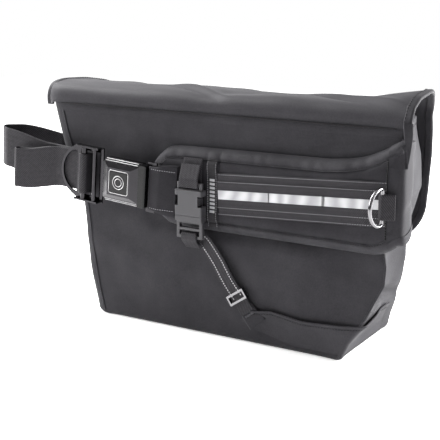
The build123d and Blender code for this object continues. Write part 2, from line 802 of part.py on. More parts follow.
# --------------------------------------------------------------------------- buckle internals
with BuildPart() as push_button:
    half = BUTTON_SIDE / 2
    strap_box(
        (cover_mid - half, cover_mid + half), (-half, half), (button_low, button_low + BUTTON_THICK)
    )
    fillet(push_button.edges().filter_by(lambda e: abs(e.tangent_at(0.5).Y) > 0.99), 2.0)
    fillet(push_button.faces().sort_by(Axis.Y)[0].edges(), 0.6)
save(push_button, "push_button")

ejector_left = TONGUE_TIP - 10.0
with BuildPart() as ejector:
    strap_box(
        (ejector_left, TONGUE_TIP - RUNNING),
        (-EJECTOR_HALF_WIDTH, EJECTOR_HALF_WIDTH),
        (tongue_low, tongue_high),
    )
save(ejector, "ejector")

latch_low = tongue_high + RUNNING
with BuildPart() as latch_plate:
    strap_box(
        (COVER_LEFT + 7, TONGUE_TIP + 6),
        (-EJECTOR_HALF_WIDTH, EJECTOR_HALF_WIDTH),
        (latch_low, latch_low + LATCH_THICK),
    )
save(latch_plate, "latch_plate")

with BuildPart() as button_spring:
    for v in (-SPRING_V, SPRING_V):
        with BuildSketch(STRAP_EDGE.offset(v)):
            with BuildLine():
                Polyline(
                    (-13, frame_high + 0.4),
                    (-5, frame_high + 3.0),
                    (-13, frame_high + 5.6),
                    (-6, button_low - 0.4),
                )
            trace(line_width=SPRING_WIRE)
        extrude(amount=SPRING_WIDTH, both=True)
save(button_spring, "button_spring")

# --------------------------------------------------------------------------- tongue
slot_left = TONGUE_END - 7.0
with BuildPart() as tongue_plate:
    with BuildSketch(STRAP_FACE.offset(tongue_low)):
        with Locations(((TONGUE_TIP + COVER_RIGHT + 8) / 2, 0)):
            Rectangle(COVER_RIGHT + 8 - TONGUE_TIP, 2 * TONGUE_HALF_WIDTH)
        with Locations(((COVER_RIGHT + 8 + TONGUE_END) / 2, 0)):
            Rectangle(TONGUE_END - COVER_RIGHT - 8, 2 * 29.0)
        with Locations((slot_left + 1.75, 0)):
            Rectangle(3.5, 2 * 25.0, mode=Mode.SUBTRACT)
        with Locations((TONGUE_TIP + 10, 0)):
            Rectangle(7, 14, mode=Mode.SUBTRACT)
    extrude(amount=TONGUE_THICK)
save(tongue_plate, "tongue_plate")

with BuildPart() as tongue_cover:
    strap_box((COVER_RIGHT + RUNNING, COVER_RIGHT + 10), (-24.6, 24.6), (-7.5, 6.5))
    rim = tongue_cover.faces().filter_by(lambda f: f.normal_at().X > 0.9).edges()
    fillet(rim, 2.0)
    strap_box(
        (COVER_RIGHT - 1, COVER_RIGHT + 8),
        (-TONGUE_HALF_WIDTH, TONGUE_HALF_WIDTH),
        (tongue_low, tongue_high),
        mode=Mode.SUBTRACT,
    )
    strap_box(
        (COVER_RIGHT + 8, COVER_RIGHT + 11), (-29, 29), (tongue_low, tongue_high), mode=Mode.SUBTRACT
    )
save(tongue_cover, "tongue_cover")

tongue_web_back = tongue_low - 0.2 - half_webbing
tongue_web_front = tongue_high + 0.2 + half_webbing
pad_surface_n = PAD_FACE_OUT - BUCKLE_OUT
tongue_webbing = ribbon(
    STRAP_EDGE,
    [
        (TONGUE_END + 22, pad_surface_n + half_webbing + 0.2),
        (TONGUE_END + 4, tongue_web_back),
        (slot_left + 1.75, tongue_web_back),
        (slot_left + 1.75, tongue_web_front),
        (TONGUE_END + 4, tongue_web_front),
        (TONGUE_END + 22, pad_surface_n + 3 * half_webbing + 0.6),
    ],
    (8, 1.6, 1.6, 8),
    STRAP_WEBBING_THICK,
    STRAP_WEBBING_WIDTH,
)
save(tongue_webbing, "tongue_webbing")

# --------------------------------------------------------------------------- side-release clip
CLIP_FACE = Plane(
    origin=(CLIP_X, Y_BACK - CLIP_OUT, CLIP_HEIGHT), x_dir=(1, 0, 0), z_dir=(0, -1, 0)
)


def clip_box(x, y, half_thick, mode=Mode.ADD):
    """Box in the clip's frame, from its limits in x and y and its half thickness."""
    with BuildPart(mode=Mode.PRIVATE) as box:
        with BuildSketch(CLIP_FACE):
            with Locations(((x[0] + x[1]) / 2, (y[0] + y[1]) / 2)):
                Rectangle(x[1] - x[0], y[1] - y[0])
        extrude(amount=half_thick, both=True)
    add(box.part, mode=mode)


plug_top = SOCKET_LOW - RUNNING
cavity_x = CLIP_HALF_WIDTH - 3.5
cavity_thick = CLIP_HALF_THICK - CLIP_WALL
with BuildPart() as clip_socket:
    clip_box((-CLIP_HALF_WIDTH, CLIP_HALF_WIDTH), (SOCKET_LOW, SOCKET_SHOULDER), CLIP_HALF_THICK)
    clip_box(
        (-CLIP_HALF_WIDTH + 1, CLIP_HALF_WIDTH - 1),
        (SOCKET_SHOULDER, SOCKET_HIGH),
        CLIP_BAR_HALF_THICK,
    )
    fillet(clip_socket.edges().filter_by(Axis.Z), 1.6)
    clip_box((-cavity_x, cavity_x), (SOCKET_LOW - 1, SOCKET_SHOULDER - 2), cavity_thick, Mode.SUBTRACT)
    for side in (-1, 1):
        edge = sorted((side * (cavity_x - 1), side * (CLIP_HALF_WIDTH + 1)))
        clip_box(edge, (6, 18), CLIP_HALF_THICK + 1, Mode.SUBTRACT)
    clip_box((-13, 13), (SOCKET_SHOULDER + 0.8, SOCKET_HIGH - 3.7), CLIP_HALF_THICK, Mode.SUBTRACT)
save(clip_socket, "clip_socket")

with BuildPart() as clip_plug:
    clip_box((-17, 17), (PLUG_LOW, plug_top - 4), CLIP_BAR_HALF_THICK)
    clip_box((-CLIP_HALF_WIDTH, CLIP_HALF_WIDTH), (plug_top - 6, plug_top), CLIP_HALF_THICK - 0.3)
    fillet(clip_plug.edges().filter_by(Axis.Z), 1.2)
    clip_box((-2.4, 2.4), (plug_top, 16), cavity_thick - 0.6)
    for low, high in ((PLUG_LOW + 3.5, PLUG_LOW + 9), (PLUG_LOW + 12, PLUG_LOW + 17)):
        clip_box((-13, 13), (low, high), CLIP_HALF_THICK, Mode.SUBTRACT)
save(clip_plug, "clip_plug")

arm_points = [
    (7.6, SOCKET_LOW),
    (10.6, SOCKET_LOW),
    (11.2, 6),
    (cavity_x - 0.4, 8),
    (cavity_x - 0.4, 15),
    (9.5, 20.5),
    (7.0, 20.5),
    (8.0, 8),
]
for side, name in ((-1, "clip_arm_left"), (1, "clip_arm_right")):
    with BuildPart() as clip_arm:
        with BuildSketch(CLIP_FACE):
            with BuildLine():
                Polyline(*[(side * x, y) for x, y in arm_points], close=True)
            make_face()
        extrude(amount=cavity_thick - 0.8, both=True)
    save(clip_arm, name)

tab_back = CLIP_OUT - CLIP_BAR_HALF_THICK - 1.4
tab_front = CLIP_OUT + CLIP_BAR_HALF_THICK + 1.4
tab_slot = CLIP_HEIGHT + SOCKET_HIGH - 5.4
clip_tab = ribbon(
    side_plane(CLIP_X),
    [
        (PAD_FACE_OUT + TAB_THICK / 2 + 0.2, tab_slot + 31),
        (tab_back, tab_slot + 10),
        (tab_back, tab_slot),
        (tab_front, tab_slot),
        (tab_front, tab_slot + 9),
        (PAD_FACE_OUT + 3 * TAB_THICK, tab_slot + 24),
    ],
    (6, 2, 2, 6),
    TAB_THICK,
    TAB_WIDTH,
)
save(clip_tab, "clip_tab")

# --------------------------------------------------------------------------- stabilizer strap
loop_slot = CLIP_HEIGHT + PLUG_LOW + 6.2
clip_strap_loop = ribbon(
    side_plane(CLIP_X),
    [
        (STABILIZER_OUT + 4.4, loop_slot - 18),
        (tab_back, loop_slot - 7),
        (tab_back, loop_slot),
        (tab_front, loop_slot),
        (tab_front, loop_slot - 8),
        (STABILIZER_OUT + 7.4, loop_slot - 18.5),
    ],
    (6, 2, 2, 6),
    STABILIZER_THICK,
    STABILIZER_WIDTH,
)
save(clip_strap_loop, "clip_strap_loop")

strap_run = (STABILIZER_LOW[0] - STABILIZER_TOP[0], STABILIZER_LOW[1] - STABILIZER_TOP[1])
strap_length = hypot(*strap_run)
strap_angle = degrees(atan2(strap_run[1], strap_run[0]))
strap_middle = (
    (STABILIZER_LOW[0] + STABILIZER_TOP[0]) / 2,
    (STABILIZER_LOW[1] + STABILIZER_TOP[1]) / 2,
)
with BuildPart() as stabilizer_strap:
    with BuildSketch(back_plane(STABILIZER_OUT)):
        with Locations(strap_middle):
            Rectangle(strap_length, STABILIZER_WIDTH, rotation=strap_angle)
    extrude(amount=STABILIZER_THICK)
save(stabilizer_strap, "stabilizer_strap")

# The slider is a flat loop round the strap, open at the front between its two bars.
slider_centre = (
    STABILIZER_LOW[0] - strap_run[0] / strap_length * SLIDER_FROM_END,
    STABILIZER_LOW[1] - strap_run[1] / strap_length * SLIDER_FROM_END,
)
slider_bottom = STABILIZER_OUT - RUNNING - SLIDER_WALL
slider_top = STABILIZER_OUT + STABILIZER_THICK + RUNNING
slider_outer = STABILIZER_WIDTH + 2 * RUNNING + 2 * SLIDER_WALL


def slider_layer(out, thick, length, width, mode):
    """Rectangle of the slider, centred on the strap, from one distance out."""
    with BuildPart(mode=Mode.PRIVATE) as layer:
        with BuildSketch(back_plane(out)):
            with Locations(slider_centre):
                Rectangle(length, width, rotation=strap_angle)
        extrude(amount=thick)
    add(layer.part, mode=mode)


with BuildPart() as strap_slider:
    slider_layer(
        slider_bottom,
        slider_top + SLIDER_WALL - slider_bottom,
        SLIDER_LENGTH,
        slider_outer,
        Mode.ADD,
    )
    slider_layer(
        slider_bottom + SLIDER_WALL,
        slider_top - slider_bottom - SLIDER_WALL,
        SLIDER_LENGTH + 2,
        STABILIZER_WIDTH + 2 * RUNNING,
        Mode.SUBTRACT,
    )
    slider_layer(
        slider_top - 0.1, SLIDER_WALL + 1, SLIDER_LENGTH - 5, STABILIZER_WIDTH, Mode.SUBTRACT
    )
save(strap_slider, "strap_slider")

# --------------------------------------------------------------------------- wing
with BuildPart() as wing_back:
    with BuildSketch(back_plane(0)):
        with BuildLine():
            Polyline(
                (62, 28),
                (60, 41),
                (97, WING_HEIGHT + 2),
                (134, WING_HEIGHT - 4),
                (half_width(WING_HEIGHT), WING_HEIGHT),
                (half_width(2), 2),
                (124, 2),
                close=True,
            )
        make_face()
    extrude(amount=WING_THICK)
save(wing_back, "wing_back")

wing_side = sloping_block(
    2,
    WING_HEIGHT - 2,
    lambda z: (
        half_width(z),
        half_width(z) + WING_THICK,
        Y_BACK + PIPING + RUNNING,
        Y_BACK + WING_REACH - 12,
    ),
)
save(wing_side, "wing_side")

with BuildPart() as wing_tab:
    with BuildSketch(back_plane(WING_THICK)):
        with Locations(STABILIZER_LOW):
            with Locations((5.5, -7.0)):
                Rectangle(10, STABILIZER_WIDTH - 4, rotation=strap_angle)
    extrude(amount=STABILIZER_OUT - WING_THICK + STABILIZER_THICK)
save(wing_tab, "wing_tab")
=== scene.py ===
import logging
import math
from dataclasses import dataclass, field

import bmesh
import bpy
import numpy as np
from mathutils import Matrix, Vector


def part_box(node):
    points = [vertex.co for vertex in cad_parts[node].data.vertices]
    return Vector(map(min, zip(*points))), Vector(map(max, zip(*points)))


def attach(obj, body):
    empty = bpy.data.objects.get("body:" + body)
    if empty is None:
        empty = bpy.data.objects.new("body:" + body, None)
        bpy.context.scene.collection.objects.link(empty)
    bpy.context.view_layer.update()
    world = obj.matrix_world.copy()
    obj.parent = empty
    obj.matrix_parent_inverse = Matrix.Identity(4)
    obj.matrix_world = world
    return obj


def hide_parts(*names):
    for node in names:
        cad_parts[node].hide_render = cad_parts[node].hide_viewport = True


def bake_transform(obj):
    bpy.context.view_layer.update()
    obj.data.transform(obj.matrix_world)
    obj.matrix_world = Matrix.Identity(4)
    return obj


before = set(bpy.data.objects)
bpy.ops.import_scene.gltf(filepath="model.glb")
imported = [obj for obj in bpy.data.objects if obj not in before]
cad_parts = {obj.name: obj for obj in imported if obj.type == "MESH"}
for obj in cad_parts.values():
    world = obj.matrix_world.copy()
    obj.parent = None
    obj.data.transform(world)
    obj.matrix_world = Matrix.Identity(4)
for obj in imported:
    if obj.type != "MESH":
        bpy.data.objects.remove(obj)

log = logging.getLogger("messenger_bag")
Array = np.ndarray
WHITE = (1.0, 1.0, 1.0, 1.0)
MM = 0.001
BACK = -75 * MM  # y of the back panel's outer face
WEBBING_SLOPE = 0.0524  # the harness webbing climbs 3 degrees
WEBBING_MIDDLE = (118.75 * MM, 177 * MM)  # x and height of a point on its centre line
WAVES_PER_UNIT = 3.1  # bands that the wave texture draws in one unit at scale one
RIPPLE_WAVES = 5  # sine waves that are mixed into one ripple field
CLOTH_ANGLE = 50.0  # edges of cloth and webbing that turn by more degrees stay sharp
THREAD_ANGLE = 80.0  # the same for stitches, which are shaded rounder
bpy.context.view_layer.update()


# ------------------------------------------------------------------ small maths
def vec(*values: float) -> Array:
    """A vector or point in metres, from numbers in millimetres."""
    return np.array(values, float) * MM


def unit(v: Array) -> Array:
    """Vectors along the last axis, scaled to length one."""
    return v / np.maximum(np.linalg.norm(v, axis=-1, keepdims=True), 1e-12)


def ease(low: float, high: float, x: Array) -> Array:
    """Smooth step: 0 below low, 1 above high, and 3t^2 - 2t^3 between them."""
    t = np.clip((np.asarray(x, float) - low) / (high - low), 0, 1)
    return t * t * (3 - 2 * t)


def bump_at(x: Array, centre: float, width: float) -> Array:
    """Gaussian hump of height one: exp(-((x - centre) / width)^2)."""
    return np.exp(-(((x - centre) / width) ** 2))


def arc_lengths(points: Array) -> Array:
    """Distance run along a polyline at each of its points, from zero."""
    steps = np.linalg.norm(np.diff(points, axis=0), axis=1)
    return np.concatenate([[0.0], np.cumsum(steps)])


def sample(distance: Array, run: Array, values: Array) -> Array:
    """Rows of values at the given distances, when run holds the distance of each row."""
    return np.stack([np.interp(distance, run, values[:, k]) for k in range(values.shape[1])], 1)


def smooth_path(points: Array, count: int, softness: int = 3) -> Array:
    """Even points along a polyline whose corners are rounded off.

    The line is cut into equal steps and each point is replaced by a windowed mean of its
    neighbours, several times over; both ends stay where they are.

    Args:
        points: corner points, one row each.
        count: number of points in the result.
        softness: passes of rounding. More passes make wider corners.

    Returns:
        The path, count rows.
    """
    points = np.asarray(points, float)
    run = arc_lengths(points)
    path = sample(np.linspace(0, run[-1], count), run, points)
    for _ in range(softness):
        inner = (path[:-4] + 2 * path[1:-3] + 3 * path[2:-2] + 2 * path[3:-1] + path[4:]) / 9
        path[2:-2] = inner
        path[1] = (path[0] + path[2]) / 2
        path[-2] = (path[-1] + path[-3]) / 2
    run = arc_lengths(path)
    return sample(np.linspace(0, run[-1], count), run, path)


def ripples(a: Array, b: Array, wave: float, seed: int) -> Array:
    """Soft random unevenness: the mean of several sine waves in random directions.

    Args:
        a, b: coordinates over the surface, in metres.
        wave: typical wavelength in metres.
        seed: seed of the directions and phases.

    Returns:
        Heights from about -1 to 1.
    """
    rng = np.random.default_rng(seed)
    turn = rng.uniform(0, math.pi, RIPPLE_WAVES)
    size = wave * rng.uniform(0.7, 1.6, RIPPLE_WAVES)
    phase = rng.uniform(0, 2 * math.pi, RIPPLE_WAVES)
    total = sum(
        np.sin(2 * math.pi * (a * math.cos(t) + b * math.sin(t)) / w + p)
        for t, w, p in zip(turn, size, phase)
    )
    return total / RIPPLE_WAVES


# ------------------------------------------------------------------ meshes
def grid_faces(index: Array, around: bool) -> Array:
    """Four-sided faces between the neighbours in a grid of vertex numbers.

    Args:
        index: vertex numbers, rows by columns.
        around: join the last column to the first.

    Returns:
        Four vertex numbers for each face, row by row.
    """
    if around:
        index = np.concatenate([index, index[:, :1]], 1)
    return np.stack([index[:-1, :-1], index[:-1, 1:], index[1:, 1:], index[1:, :-1]], -1).reshape(-1, 4)


def new_piece(
    name: str, points: Array, faces: list, uv: Array | None = None, slots: Array | None = None
) -> bpy.types.Object:
    """Smooth-shaded mesh object, linked to the scene.

    Args:
        name: name of the piece.
        points: its vertices.
        faces: vertex numbers of each face.
        uv: place of each vertex on the cloth in metres, for the woven finishes.
        slots: material slot of each face.

    Returns:
        The new object.
    """
    mesh = bpy.data.meshes.new(name)
    mesh.from_pydata(points.reshape(-1, 3).tolist(), [], faces)
    if slots is not None:
        mesh.polygons.foreach_set("material_index", slots)
    if uv is not None:
        layer = mesh.uv_layers.new(name="cloth")
        loops = np.empty(len(mesh.loops), np.int64)
        mesh.loops.foreach_get("vertex_index", loops)
        layer.data.foreach_set("uv", uv.reshape(-1, 2)[loops].astype(np.float32).ravel())
    mesh.polygons.foreach_set("use_smooth", np.ones(len(faces), bool))
    mesh.update()
    piece = bpy.data.objects.new(name, mesh)
    bpy.context.scene.collection.objects.link(piece)
    return piece


def tidy_mesh(piece: bpy.types.Object, sharp: float) -> bpy.types.Object:
    """Merge doubles, point the faces of a closed mesh outwards and keep hard edges hard.

    Args:
        piece: the piece to clean.
        sharp: edges that turn by more than this many degrees stay sharp.

    Returns:
        The same piece.
    """
    work = bmesh.new()
    work.from_mesh(piece.data)
    bmesh.ops.remove_doubles(work, verts=work.verts, dist=1e-6)
    bmesh.ops.recalc_face_normals(work, faces=work.faces)
    work.to_mesh(piece.data)
    work.free()
    piece.data.set_sharp_from_angle(angle=math.radians(sharp))
    return piece


def band_profile(width: float, thick: float, ribs: int = 0, relief: float = 0.0) -> Array:
    """Closed outline of a flat strip's section: rounded edges and, if wanted, raised ribs.

    Across the strip, y runs from -width/2 to width/2 and the face stands at
    thick/2 times a rounding that falls to zero at the edges, plus relief times |cos| ribs.

    Returns:
        Points (across, up), in order round the section.
    """
    count = max(13, 6 * ribs + 1)
    across = np.sin(np.linspace(-math.pi / 2, math.pi / 2, count)) * width / 2
    if ribs:
        middle = np.linspace(-0.97, 0.97, count - 2) * width / 2
        across = np.concatenate([[-width / 2], middle, [width / 2]])
    inset = np.maximum(width / 2 - np.abs(across), 0) / (thick / 2)
    face = thick / 2 * np.sqrt(1 - np.clip(1 - inset, 0, 1) ** 2)
    if ribs:
        face = face + relief * (np.abs(np.cos(math.pi * ribs * across / width)) - 0.5) * (
            inset > 1
        )
    top = np.stack([across, face], 1)
    low = np.stack([across[::-1], -face[::-1]], 1)[1:-1]
    return np.concatenate([top, low])


def round_profile(radius: float, sides: int) -> Array:
    """Closed outline of a round cord's section, as points (across, up)."""
    turn = np.arange(sides) * 2 * math.pi / sides
    return np.stack([np.cos(turn), np.sin(turn)], 1) * radius


def sweep(
    name: str, path: Array, across: Array, profile: Array, scale: Array | None = None
) -> bpy.types.Object:
    """Closed strip or bar: a section carried along a path.

    A path that ends where it starts makes a closed ring; any other path is capped at both ends.
    Each ring of points is path + across * y + normal * z, where the normal is square to the path and to
    the across direction.

    Args:
        name: name of the piece.
        path: centre line, one row for each ring.
        across: direction of the section's first axis, one vector or one for each ring.
        profile: closed section, points (across, up).
        scale: width factor for each ring.

    Returns:
        The closed piece.
    """
    tangent = np.gradient(path, axis=0)
    closed = bool(np.allclose(path[0], path[-1]))
    if closed:
        tangent[0] = tangent[-1] = path[1] - path[-2]
    tangent = unit(tangent)
    across = np.broadcast_to(np.asarray(across, float), path.shape)
    normal = unit(np.cross(tangent, across))
    across = unit(np.cross(normal, tangent))
    width = np.ones(len(path)) if scale is None else scale
    grid = (
        path[:, None]
        + across[:, None] * (profile[None, :, :1] * width[:, None, None])
        + normal[:, None] * profile[None, :, 1:]
    )
    along = arc_lengths(path)
    uv = np.empty(grid.shape[:2] + (2,))
    uv[..., 0] = along[:, None]
    uv[..., 1] = profile[None, :, 0]
    index = np.arange(grid[..., 0].size).reshape(grid.shape[:2])
    faces = grid_faces(index, True).tolist()
    if not closed:
        faces += [index[0, ::-1].tolist(), index[-1].tolist()]
    return tidy_mesh(new_piece(name, grid, faces, uv), CLOTH_ANGLE)


def stitch_row(
    name: str,
    path: Array,
    normal: Array,
    pitch: float = 3.6 * MM,
    fill: float = 0.68,
    radius: float = 0.38 * MM,
) -> bpy.types.Object:
    """Row of sewn stitches: short, low six-sided beads laid end to end along a path.

    Args:
        name: name of the piece.
        path: line that the thread follows, on the cloth's surface.
        normal: direction away from the cloth, one vector or one for each point.
        pitch: distance from one stitch to the next.
        fill: length of a stitch as a share of the pitch.
        radius: half the thread's thickness.

    Returns:
        All the stitches as one piece.
    """
    run = arc_lengths(path)
    count = max(1, int(run[-1] / pitch))
    mid = (np.arange(count) + 0.5) * pitch
    normals = np.broadcast_to(np.asarray(normal, float), path.shape)
    half = pitch * fill / 2
    centre = sample(mid, run, path)
    along = unit(sample(mid + half, run, path) - sample(mid - half, run, path))
    up = unit(sample(mid, run, normals))
    side = np.cross(along, up)
    stations = np.array([-1.0, -0.7, 0.7, 1.0])
    girth = np.array([0.35, 1.0, 1.0, 0.35]) * radius
    angle = np.arange(6) * math.pi / 3
    ring = side[:, None] * np.cos(angle)[None, :, None] + up[:, None] * np.sin(angle)[None, :, None]
    points = (
        centre[:, None, None]
        + along[:, None, None] * (stations * half)[None, :, None, None]
        + ring[:, None] * girth[None, :, None, None]
    )
    index = np.arange(24).reshape(4, 6)
    quads, ends = grid_faces(index, True), [index[0, ::-1], index[-1]]
    faces: list[list[int]] = []
    for k in range(count):
        faces += (quads + 24 * k).tolist()
        faces += [(e + 24 * k).tolist() for e in ends]
    return tidy_mesh(new_piece(name, points, faces), THREAD_ANGLE)


# ------------------------------------------------------------------ finishes
def linear(code: str) -> tuple[float, float, float, float]:
    """Linear colour from an sRGB hex code such as '#4a494b'."""
    parts = [int(code[k : k + 2], 16) / 255 for k in (1, 3, 5)]
    rgb = [c / 12.92 if c <= 0.04045 else ((c + 0.055) / 1.055) ** 2.4 for c in parts]
    return rgb[0], rgb[1], rgb[2], 1.0


def fill_inputs(tree: bpy.types.NodeTree, node: bpy.types.Node, **inputs) -> None:
    """Fill or link the inputs of a node.

    Args:
        tree: the tree that the node stands in.
        node: the node.
        inputs: the input's name with _ for a space, or i and its number, and then a value or
            an output socket.
    """
    for key, value in inputs.items():
        numbered = key[0] == "i" and key[1:].isdigit()
        socket = node.inputs[int(key[1:]) if numbered else key.replace("_", " ")]
        if isinstance(value, bpy.types.NodeSocket):
            tree.links.new(value, socket)
        else:
            socket.default_value = value


def add_node(
    tree: bpy.types.NodeTree, kind: str, settings: dict | None = None, **inputs
) -> bpy.types.Node:
    """Add a shader node, set its properties, and fill or link its inputs.

    Args:
        tree: the material's node tree.
        kind: node type without its first word, such as 'Bump'.
        settings: properties of the node itself.
        inputs: as for fill_inputs.

    Returns:
        The new node.
    """
    node = tree.nodes.new("ShaderNode" + kind)
    for key, value in (settings or {}).items():
        setattr(node, key, value)
    fill_inputs(tree, node, **inputs)
    return node


def new_material(name: str) -> tuple[bpy.types.Material, bpy.types.NodeTree, bpy.types.Node]:
    """An empty material with its output.

    Returns:
        The material, its node tree and its Principled shader, already linked.
    """
    material = bpy.data.materials.new(name)
    material.use_nodes = True
    tree = material.node_tree
    tree.nodes.clear()
    shader = add_node(tree, "BsdfPrincipled")
    add_node(tree, "OutputMaterial", Surface=shader.outputs["BSDF"])
    return material, tree, shader


@dataclass(frozen=True)
class WovenCloth:
    """Coated woven cloth: two crossed thread directions, a mottled coat and a soft sheen."""

    name: str
    colour: str
    worn: str
    thread_mm: float = 1.5  # real threads are near 0.5 mm; drawn coarser so that they show
    relief_mm: float = 0.10
    roughness: float = 0.62
    gloss: float = 0.06
    sheen: float = 0.04
    mottle_mm: float = 38.0

    def build(self) -> bpy.types.Material:
        """Make the material."""
        material, tree, shader = new_material(self.name)
        where = add_node(tree, "TexCoord")
        per_metre = 1.0 / (self.thread_mm * MM)
        warp, weft = (
            add_node(
                tree,
                "TexWave",
                {"wave_type": "BANDS", "bands_direction": direction, "wave_profile": "SIN"},
                Vector=where.outputs["UV"],
                Scale=per_metre / WAVES_PER_UNIT,
                Distortion=0.6,
                Detail=1.0,
            )
            for direction in "XY"
        )
        weave = add_node(
            tree, "Math", {"operation": "MULTIPLY"}, i0=warp.outputs["Fac"], i1=weft.outputs["Fac"]
        )
        mottle = add_node(
            tree,
            "TexNoise",
            Vector=where.outputs["Object"],
            Scale=1.0 / (self.mottle_mm * MM),
            Detail=5.0,
            Roughness=0.62,
        )
        grain = add_node(
            tree, "TexNoise", Vector=where.outputs["Object"], Scale=620.0, Detail=2.0
        )
        tone = add_node(
            tree,
            "MapRange",
            Value=mottle.outputs["Fac"],
            From_Min=0.3,
            From_Max=0.72,
            To_Min=0.0,
            To_Max=1.0,
        )
        blend = add_node(
            tree,
            "Mix",
            {"data_type": "RGBA"},
            Factor=tone.outputs["Result"],
            i6=linear(self.colour),
            i7=linear(self.worn),
        )
        speck = add_node(
            tree,
            "MapRange",
            Value=grain.outputs["Fac"],
            From_Min=0.25,
            From_Max=0.75,
            To_Min=0.88,
            To_Max=1.12,
        )
        final = add_node(
            tree,
            "Mix",
            {"data_type": "RGBA", "blend_type": "MULTIPLY"},
            Factor=1.0,
            i6=blend.outputs[2],
            i7=speck.outputs["Result"],
        )
        height = add_node(
            tree, "Math", {"operation": "ADD"}, i0=weave.outputs[0], i1=grain.outputs["Fac"]
        )
        relief = add_node(
            tree,
            "Bump",
            Height=height.outputs[0],
            Distance=self.relief_mm * MM,
            Strength=0.6,
        )
        rough = add_node(
            tree,
            "MapRange",
            Value=mottle.outputs["Fac"],
            To_Min=self.roughness - 0.08,
            To_Max=self.roughness + 0.08,
        )
        fill_inputs(
            tree,
            shader,
            Base_Color=final.outputs[2],
            Roughness=rough.outputs["Result"],
            Normal=relief.outputs["Normal"],
            Specular_IOR_Level=self.gloss,
            Sheen_Weight=self.sheen,
            Sheen_Roughness=0.45,
        )
        return material


@dataclass(frozen=True)
class Webbing:
    """Tightly woven nylon webbing: a twill that slants across each rib, slightly glossy."""

    name: str
    colour: str
    light: str
    twill_mm: float = 1.9  # real twill lines are near 1 mm; drawn coarser so that they show
    relief_mm: float = 0.16
    roughness: float = 0.5

    def build(self) -> bpy.types.Material:
        """Make the material."""
        material, tree, shader = new_material(self.name)
        where = add_node(tree, "TexCoord")
        turned = add_node(
            tree, "Mapping", Vector=where.outputs["UV"], Rotation=(0.0, 0.0, math.radians(38))
        )
        twill = add_node(
            tree,
            "TexWave",
            {"wave_type": "BANDS", "bands_direction": "X", "wave_profile": "SIN"},
            Vector=turned.outputs["Vector"],
            Scale=1.0 / (self.twill_mm * MM) / WAVES_PER_UNIT,
            Distortion=0.4,
        )
        fuzz = add_node(
            tree, "TexNoise", Vector=where.outputs["Object"], Scale=340.0, Detail=4.0
        )
        mixed = add_node(
            tree, "Math", {"operation": "MULTIPLY"}, i0=twill.outputs["Fac"], i1=fuzz.outputs["Fac"]
        )
        tone = add_node(
            tree,
            "MapRange",
            Value=mixed.outputs[0],
            From_Min=0.05,
            From_Max=0.55,
        )
        blend = add_node(
            tree,
            "Mix",
            {"data_type": "RGBA"},
            Factor=tone.outputs["Result"],
            i6=linear(self.colour),
            i7=linear(self.light),
        )
        relief = add_node(
            tree, "Bump", Height=mixed.outputs[0], Distance=self.relief_mm * MM, Strength=0.7
        )
        fill_inputs(
            tree,
            shader,
            Base_Color=blend.outputs[2],
            Roughness=self.roughness,
            Normal=relief.outputs["Normal"],
            Specular_IOR_Level=0.12,
        )
        return material


@dataclass(frozen=True)
class PlatedMetal:
    """Die-cast or pressed metal under bright plating: mirror gloss, rubbed and finely scratched."""

    name: str
    colour: str
    roughness: float
    round_mm: float = 0.35  # edges are tumbled to about this radius before plating

    def build(self) -> bpy.types.Material:
        """Make the material."""
        material, tree, shader = new_material(self.name)
        where = add_node(tree, "TexCoord")
        rub = add_node(
            tree, "TexNoise", Vector=where.outputs["Object"], Scale=95.0, Detail=6.0, Roughness=0.7
        )
        rough = add_node(
            tree,
            "MapRange",
            Value=rub.outputs["Fac"],
            From_Min=0.3,
            From_Max=0.75,
            To_Min=self.roughness * 0.7,
            To_Max=self.roughness * 1.7,
        )
        rounded = add_node(tree, "Bevel", {"samples": 4}, Radius=self.round_mm * MM)
        scratch = add_node(
            tree,
            "Bump",
            Height=rub.outputs["Fac"],
            Distance=0.02 * MM,
            Strength=0.25,
            Normal=rounded.outputs["Normal"],
        )
        fill_inputs(
            tree,
            shader,
            Base_Color=linear(self.colour),
            Metallic=1.0,
            Roughness=rough.outputs["Result"],
            Normal=scratch.outputs["Normal"],
        )
        return material


@dataclass(frozen=True)
class MouldedPlastic:
    """Injection-moulded acetal: spark-eroded mould grain and softened edges."""

    name: str
    colour: str
    roughness: float
    gloss: float = 0.4
    grain_mm: float = 0.7
    relief_mm: float = 0.03
    round_mm: float = 0.6

    def build(self) -> bpy.types.Material:
        """Make the material."""
        material, tree, shader = new_material(self.name)
        where = add_node(tree, "TexCoord")
        grain = add_node(
            tree,
            "TexNoise",
            Vector=where.outputs["Object"],
            Scale=1.0 / (self.grain_mm * MM),
            Detail=3.0,
        )
        rounded = add_node(tree, "Bevel", {"samples": 4}, Radius=self.round_mm * MM)
        relief = add_node(
            tree,
            "Bump",
            Height=grain.outputs["Fac"],
            Distance=self.relief_mm * MM,
            Strength=0.5,
            Normal=rounded.outputs["Normal"],
        )
        rough = add_node(
            tree,
            "MapRange",
            Value=grain.outputs["Fac"],
            To_Min=self.roughness - 0.06,
            To_Max=self.roughness + 0.08,
        )
        fill_inputs(
            tree,
            shader,
            Base_Color=linear(self.colour),
            Roughness=rough.outputs["Result"],
            Normal=relief.outputs["Normal"],
            Specular_IOR_Level=self.gloss,
        )
        return material


